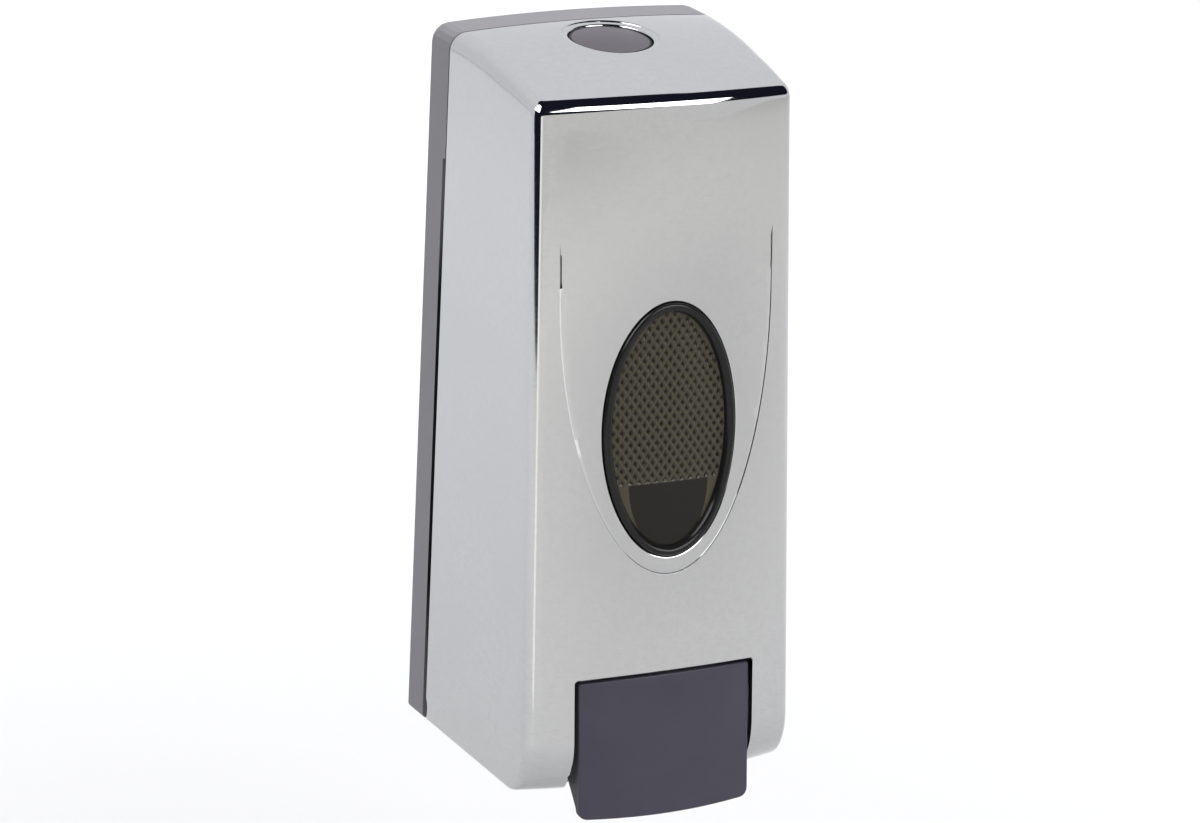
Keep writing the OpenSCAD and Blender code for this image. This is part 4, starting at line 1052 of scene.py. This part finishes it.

# %% [markdown]
# ## Painted shade, and mottling and wear on the chrome
# Four finishes need one thing more. The back plate has a fine step along both sides where it meets
# the cover, and painted shade makes it black; it is picked out by its place and fades towards its ends.
# The button has painted shade at its very edge, and the lever has painted shade behind its face.
# The chrome is faintly mottled, and dulled a little near its foot, where soap drips and is wiped away.

# %% Painted shade in the parting line
PARTING_X, PARTING_Y = 0.0422, -0.01035
PARTING_TOP, PARTING_FOOT = (0.022, 0.050), (-0.108, -0.072)
along = plate_grey.axes(plate_grey.place)
outer = plate_grey.math("GREATER_THAN", plate_grey.math("ABSOLUTE", along["X"]), PARTING_X)
ahead = plate_grey.math("LESS_THAN", along["Y"], PARTING_Y)
parting = plate_grey.math("MULTIPLY", outer, ahead)
for value_low, value_high, fade in ((1, 0, PARTING_TOP), (0, 1, PARTING_FOOT)):
    faded = plate_grey.spread(along["Z"], value_low, value_high, *fade)
    parting = plate_grey.math("MULTIPLY", parting, faded)
# Painted shade: the step along the parting line is coloured near black, fading towards both ends.
plate_grey.darken(parting, (0.010, 0.010, 0.011))
print("parting line: from", PARTING_FOOT[0], "to", PARTING_TOP[1], "m")

# %% Painted shade on the button and the lever, and mottling and wear on the chrome
BUTTON_SHADE_EDGE = (0.0114, 0.01175)
WIPED_FOOT = (-0.10, -0.04)
NO_HEIGHT = (1.0, 1.0, 0.0)
# Painted shade: the button's rim is darkened where it drops into its hole.
level_place = button_grey.node("VectorMath", {0: button_grey.place, 1: NO_HEIGHT}, operation="MULTIPLY")
from_axis = button_grey.distance(level_place.outputs["Vector"], (0.0, BUTTON_Y * MM, 0.0))
button_grey.darken(button_grey.spread(from_axis, 0, 1, *BUTTON_SHADE_EDGE), (0.004, 0.004, 0.005))
# Painted shade: the lever is darkened behind its face.
slate.darken(slate.attribute("painted_shade_behind_face"), (0.013, 0.012, 0.016))
chrome.darken(chrome.spread(chrome.grain(420.0), 0, 1, 0.75, 1.25), (0.480, 0.483, 0.490))
near_foot = chrome.spread(chrome.axes(chrome.place)["Z"], 0.3, 0.0, *WIPED_FOOT)
wiping = chrome.handling(30.0)[1]
chrome.darken(chrome.math("MULTIPLY", wiping, near_foot), (0.36, 0.345, 0.32))
print("shaded chrome:", len(chrome.tree.nodes), "nodes")

# %% [markdown]
# ## Smoked lens
# The lens is dark olive plastic under a gloss skin. The lattice's ridges are lighter than the dimples,
# which are painted near black as shade; below the lattice the middle is bare and dark between two lighter
# crescents.

# %% Lens finish
RIM_BLACK, BARE = (0.012, 0.0117, 0.0115), (0.014, 0.013, 0.010)
# The ridges' olive is the lens's own tone; the near black in the middle of each dimple is painted shade.
LATTICE_TONES_AND_SHADE = [(0.0, (0.080, 0.073, 0.046)), (0.22, (0.055, 0.050, 0.031)), (0.44, (0.049, 0.045, 0.028)),
                 (0.66, (0.003, 0.003, 0.002))]
smoked = Finish("smoked_lens")
on_pane = smoked.attribute("pane")
lattice = smoked.ramp(smoked.attribute("dimple"), LATTICE_TONES_AND_SHADE)
with_patch = smoked.mix(smoked.attribute("plain_patch"), lattice, BARE)
hazed = smoked.spread(smoked.handling(60.0)[0], 0.0, 0.06)
smoked.set(Base_Color=smoked.mix(on_pane, RIM_BLACK, with_patch), Specular_IOR_Level=0.2,
           Roughness=smoked.math("ADD", hazed, smoked.spread(on_pane, 0.15, 0.07)))
print("lens finish:", len(smoked.tree.nodes), "nodes")

# %% [markdown]
# ## Dressing the solids
# The new pieces take their finishes here, and every other solid keeps its CAD mesh.

# %% Assign finishes
finish_of_slot = {"chrome": chrome, "grey_plastic": grey, "slate_plastic": slate, "smoked_lens": smoked,
                  "steel": steel, "rubber": rubber, "tank_plastic": tank, "white_plastic": white}
own_finish = {"back_plate": plate_grey, "latch_button": button_grey}
for node_name, node in nodes.items():
    finish = own_finish.get(node_name, finish_of_slot[slot_of_node[node_name]])
    node.data.materials.clear()
    node.data.materials.append(finish.material)
for piece, finishes in ((cover, (chrome, inside_plate)), (lens, (smoked,)), (lever, (slate,)),
                        (pump_coil, (steel,)), (button_coil, (steel,))):
    for f in finishes:
        piece.data.materials.append(f.material)
print("dressed:", len(nodes), "nodes")

# %% [markdown]
# ## Floor
# The part stands before a sheet of white paper that ends to the left, because the chrome's left side
# shows where it ends. The paper is a little warmer in front, cooler behind, and a shade darker
# close to the part and at one spot to the right, which levels the light that falls on it.

# %% Floor
FLOOR_Z = -0.24
FLOOR_LEFT, FLOOR_FAR, FLOOR_SIDE, FLOOR_STEPS = 1.6, 4.0, 3.2, 9
LEFT_WAY = np.array([-0.888, -0.46])
ALONG = np.array([LEFT_WAY[1], -LEFT_WAY[0]])
WARM, COOL = (0.848, 0.836, 0.806), (0.826, 0.834, 0.850)
SHADE_SPOT = (0.62, -1.30, FLOOR_Z)


def stage_sheet(name, points, faces, finish):
    """A flat sheet of the studio, in metres, with its finish."""
    mesh = bpy.data.meshes.new(name)
    mesh.from_pydata(np.asarray(points).reshape(-1, 3).tolist(), [], np.asarray(faces).tolist())
    mesh.materials.append(finish.material)
    made = bpy.data.objects.new(name, mesh)
    bpy.context.scene.collection.objects.link(made)
    return made


paper = Finish("white_paper")
from_front = paper.spread(paper.axes(paper.place)["Y"], 0, 1, -0.9, 0.3)
paper.set(Base_Color=paper.mix(from_front, WARM, COOL),
          Roughness=paper.spread(paper.grain(900.0), 0.82, 0.95, 0.6, 1.4))
# Painted shade: the paper is darkened close to the part and round one spot to the right, to level the light
# that falls on it.
from_part = paper.distance(paper.place, (0.0, 0.0, 0.0))
paper.darken(paper.spread(from_part, 1, 0, 0.35, 1.1), (0.655, 0.655, 0.657))
from_spot = paper.distance(paper.place, SHADE_SPOT)
paper.darken(paper.spread(from_spot, 1, 0, 0.4, 1.15), (0.640, 0.636, 0.626))
u = np.linspace(-FLOOR_FAR, FLOOR_LEFT, FLOOR_STEPS)[:, None, None]
v = np.linspace(-FLOOR_SIDE, FLOOR_SIDE, FLOOR_STEPS)[None, :, None]
flat = u * LEFT_WAY + v * ALONG
floor_points = np.concatenate([flat, np.full((FLOOR_STEPS, FLOOR_STEPS, 1), FLOOR_Z)], -1)
floor = stage_sheet("floor", floor_points, grid_faces(FLOOR_STEPS, FLOOR_STEPS), paper)
print("floor: at", FLOOR_Z, "m")

# %% [markdown]
# ## The room
# A bright surface is a picture of its room, so the room is designed for it: a pale horizon in front
# and behind, a dark ceiling, and a long lamp in it. The rounded brow then shows the ceiling as a dark band
# with a white streak, as polished edges do. All of it is worked out from a ray's heading and rise in degrees.

# %% Directions in the room
world = bpy.data.worlds.new("studio")
bpy.context.scene.world = world
world.use_nodes = True
world.node_tree.nodes.clear()
room = Nodes(world.node_tree)
way = room.axes(room.node("TexCoord").outputs["Generated"])
rise = room.math("MULTIPLY", room.math("ARCSINE", way["Z"]), math.degrees(1))
forward = room.math("MULTIPLY", way["Y"], -1.0)
heading = room.math("MULTIPLY", room.math("ARCTAN2", way["X"], forward), math.degrees(1))
round_share = room.math("ADD", room.math("MULTIPLY", heading, 1 / 360), 0.5)
print("room: directions from", len(room.tree.nodes), "nodes")

# %% Ceiling and walls
CEILING_BACK, CEILING_FRONT, CEILING_LEFT, CEILING_SOFT = 60.0, 8.0, -60.0, 1.2
CEILING_EDGES = ((-180, CEILING_BACK), (-101, CEILING_BACK), (-95, CEILING_LEFT), (-42, CEILING_LEFT),
                 (-36, CEILING_FRONT), (96, CEILING_FRONT), (100, CEILING_BACK), (180, CEILING_BACK))
WALL_TONES = ((-180, (0.98, 0.99, 1.03)), (-60, (0.98, 0.985, 1.0)), (-25, (1.0, 0.985, 0.95)),
              (20, (0.98, 0.975, 0.95)), (60, (1.0, 1.0, 1.02)), (180, (0.98, 0.99, 1.03)))
NAVY = (0.012, 0.013, 0.024)


def round_room(stops):
    """A ramp round the room by heading: 0 degrees is the front, positive to the right, 180 the rear."""
    return room.ramp(round_share, [((degrees + 180) / 360, colour) for degrees, colour in stops])


# The ceiling's height is packed into 0 to 1 for the ramp, and unpacked after it
packed = round_room([(degrees, ((height + 90) / 180,) * 3) for degrees, height in CEILING_EDGES])
edge = room.math("SUBTRACT", room.math("MULTIPLY", packed, 180.0), 90.0)
above = room.step(rise, room.math("SUBTRACT", edge, CEILING_SOFT), room.math("ADD", edge, CEILING_SOFT))
shell = room.mix(above, round_room(WALL_TONES), NAVY)
print("ceiling: starts at", CEILING_FRONT, "degrees in front and", CEILING_BACK, "behind")

# %% Lamps that reflections see
LAMP_SOFT = 1.0


def lamp(turn, height, half_turn, half_height, tilt_degrees, power):
    """A soft-edged tilted window of light round a heading and a height."""
    c, s = math.cos(math.radians(tilt_degrees)), math.sin(math.radians(tilt_degrees))
    across = room.math("SUBTRACT", heading, turn)
    upward = room.math("SUBTRACT", rise, height)
    inside = power
    for first, second, half in ((c, s, half_turn), (-s, c, half_height)):
        place = room.math("ADD", room.math("MULTIPLY", across, first), room.math("MULTIPLY", upward, second))
        outside = room.step(room.math("ABSOLUTE", place), half - LAMP_SOFT, half + LAMP_SOFT)
        inside = room.math("MULTIPLY", room.math("SUBTRACT", 1.0, outside), inside)
    return inside


long_lamp = lamp(turn=22, height=26, half_turn=23, half_height=12, tilt_degrees=-28, power=9.0)
side_lamp = lamp(turn=-82, height=47, half_turn=24, half_height=20, tilt_degrees=0, power=9.0)
ray = room.node("LightPath").outputs
lamps = room.math("MULTIPLY", room.math("ADD", long_lamp, side_lamp), ray["Is Glossy Ray"])
lift = room.math("MULTIPLY", room.step(rise, 15.0, 50.0), 0.12)
bright = room.node("Background", {"Color": shell, "Strength": room.math("ADD", lift, 1.0)})
glow = room.node("Background", {"Strength": lamps})
together = room.node("AddShader", {0: bright.outputs[0], 1: glow.outputs[0]})
paper_white = room.node("Background", {"Color": (1, 1, 1)})
seen = room.node("MixShader", {0: ray["Is Camera Ray"], 1: together.outputs[0], 2: paper_white.outputs[0]})
room.node("OutputWorld", {"Surface": seen.outputs[0]})
print("room:", len(room.tree.nodes), "nodes")

# %% [markdown]
# ## A white card and three soft lamps
# Photographers set a card beside the camera to put a bright field into a curved shine. This one gives off
# its own light, and only reflections see it. The matt plastics need lamps of their own,
# and those stay out of reflections, so that chrome and plastic can be lit apart from each other.

# %% White card
CARD_TURN, CARD_AWAY, CARD_HALF, CARD_TOP = math.radians(-28.6), 0.8, 0.105, 0.15
side_way = np.array([math.cos(CARD_TURN), math.sin(CARD_TURN), 0])
card_way = np.array([math.sin(CARD_TURN), -math.cos(CARD_TURN), 0])
card_points = [CARD_AWAY * card_way + side * CARD_HALF * side_way + np.array([0, 0, height])
               for side, height in ((-1, FLOOR_Z), (1, FLOOR_Z), (1, CARD_TOP), (-1, CARD_TOP))]
card_finish = Finish("white_card")
card_finish.set(Base_Color=(0, 0, 0), Emission_Strength=1.55, Emission_Color=(1.0, 0.99, 0.97))
card = stage_sheet("white_card", card_points, [(0, 1, 2, 3)], card_finish)
for kind in ("camera", "diffuse", "shadow", "transmission"):
    setattr(card, "visible_" + kind, False)
print("card:", 2 * CARD_HALF, "m wide,", CARD_AWAY, "m away")

# %% Lamps for the matt surfaces


def soft_lamp(name, place, aim, size, power):
    """A large square lamp that lights matt surfaces and stays out of reflections."""
    data = bpy.data.lights.new(name, "AREA")
    data.shape = "SQUARE"
    data.size = size
    data.energy = power
    made = bpy.data.objects.new(name, data)
    made.location = place
    made.rotation_euler = (Vector(aim) - Vector(place)).to_track_quat("-Z", "Y").to_euler()
    made.visible_glossy = False
    bpy.context.scene.collection.objects.link(made)


soft_lamp("overhead", (0.0, 0.3, 3.0), (0.1, 0.4, 0.0), 4.0, 146.0)
soft_lamp("front_overhead", (1.0, -2.4, 2.6), (1.0, -2.2, 0.0), 2.2, 36.0)
soft_lamp("front_fill", (-1.2, -2.6, 1.0), (0.0, 0.0, 0.0), 2.0, 10.0)
bpy.context.scene.view_settings.view_transform = "Standard"
print("lamps:", [(data.name, data.energy) for data in bpy.data.lights])

# %% [markdown]
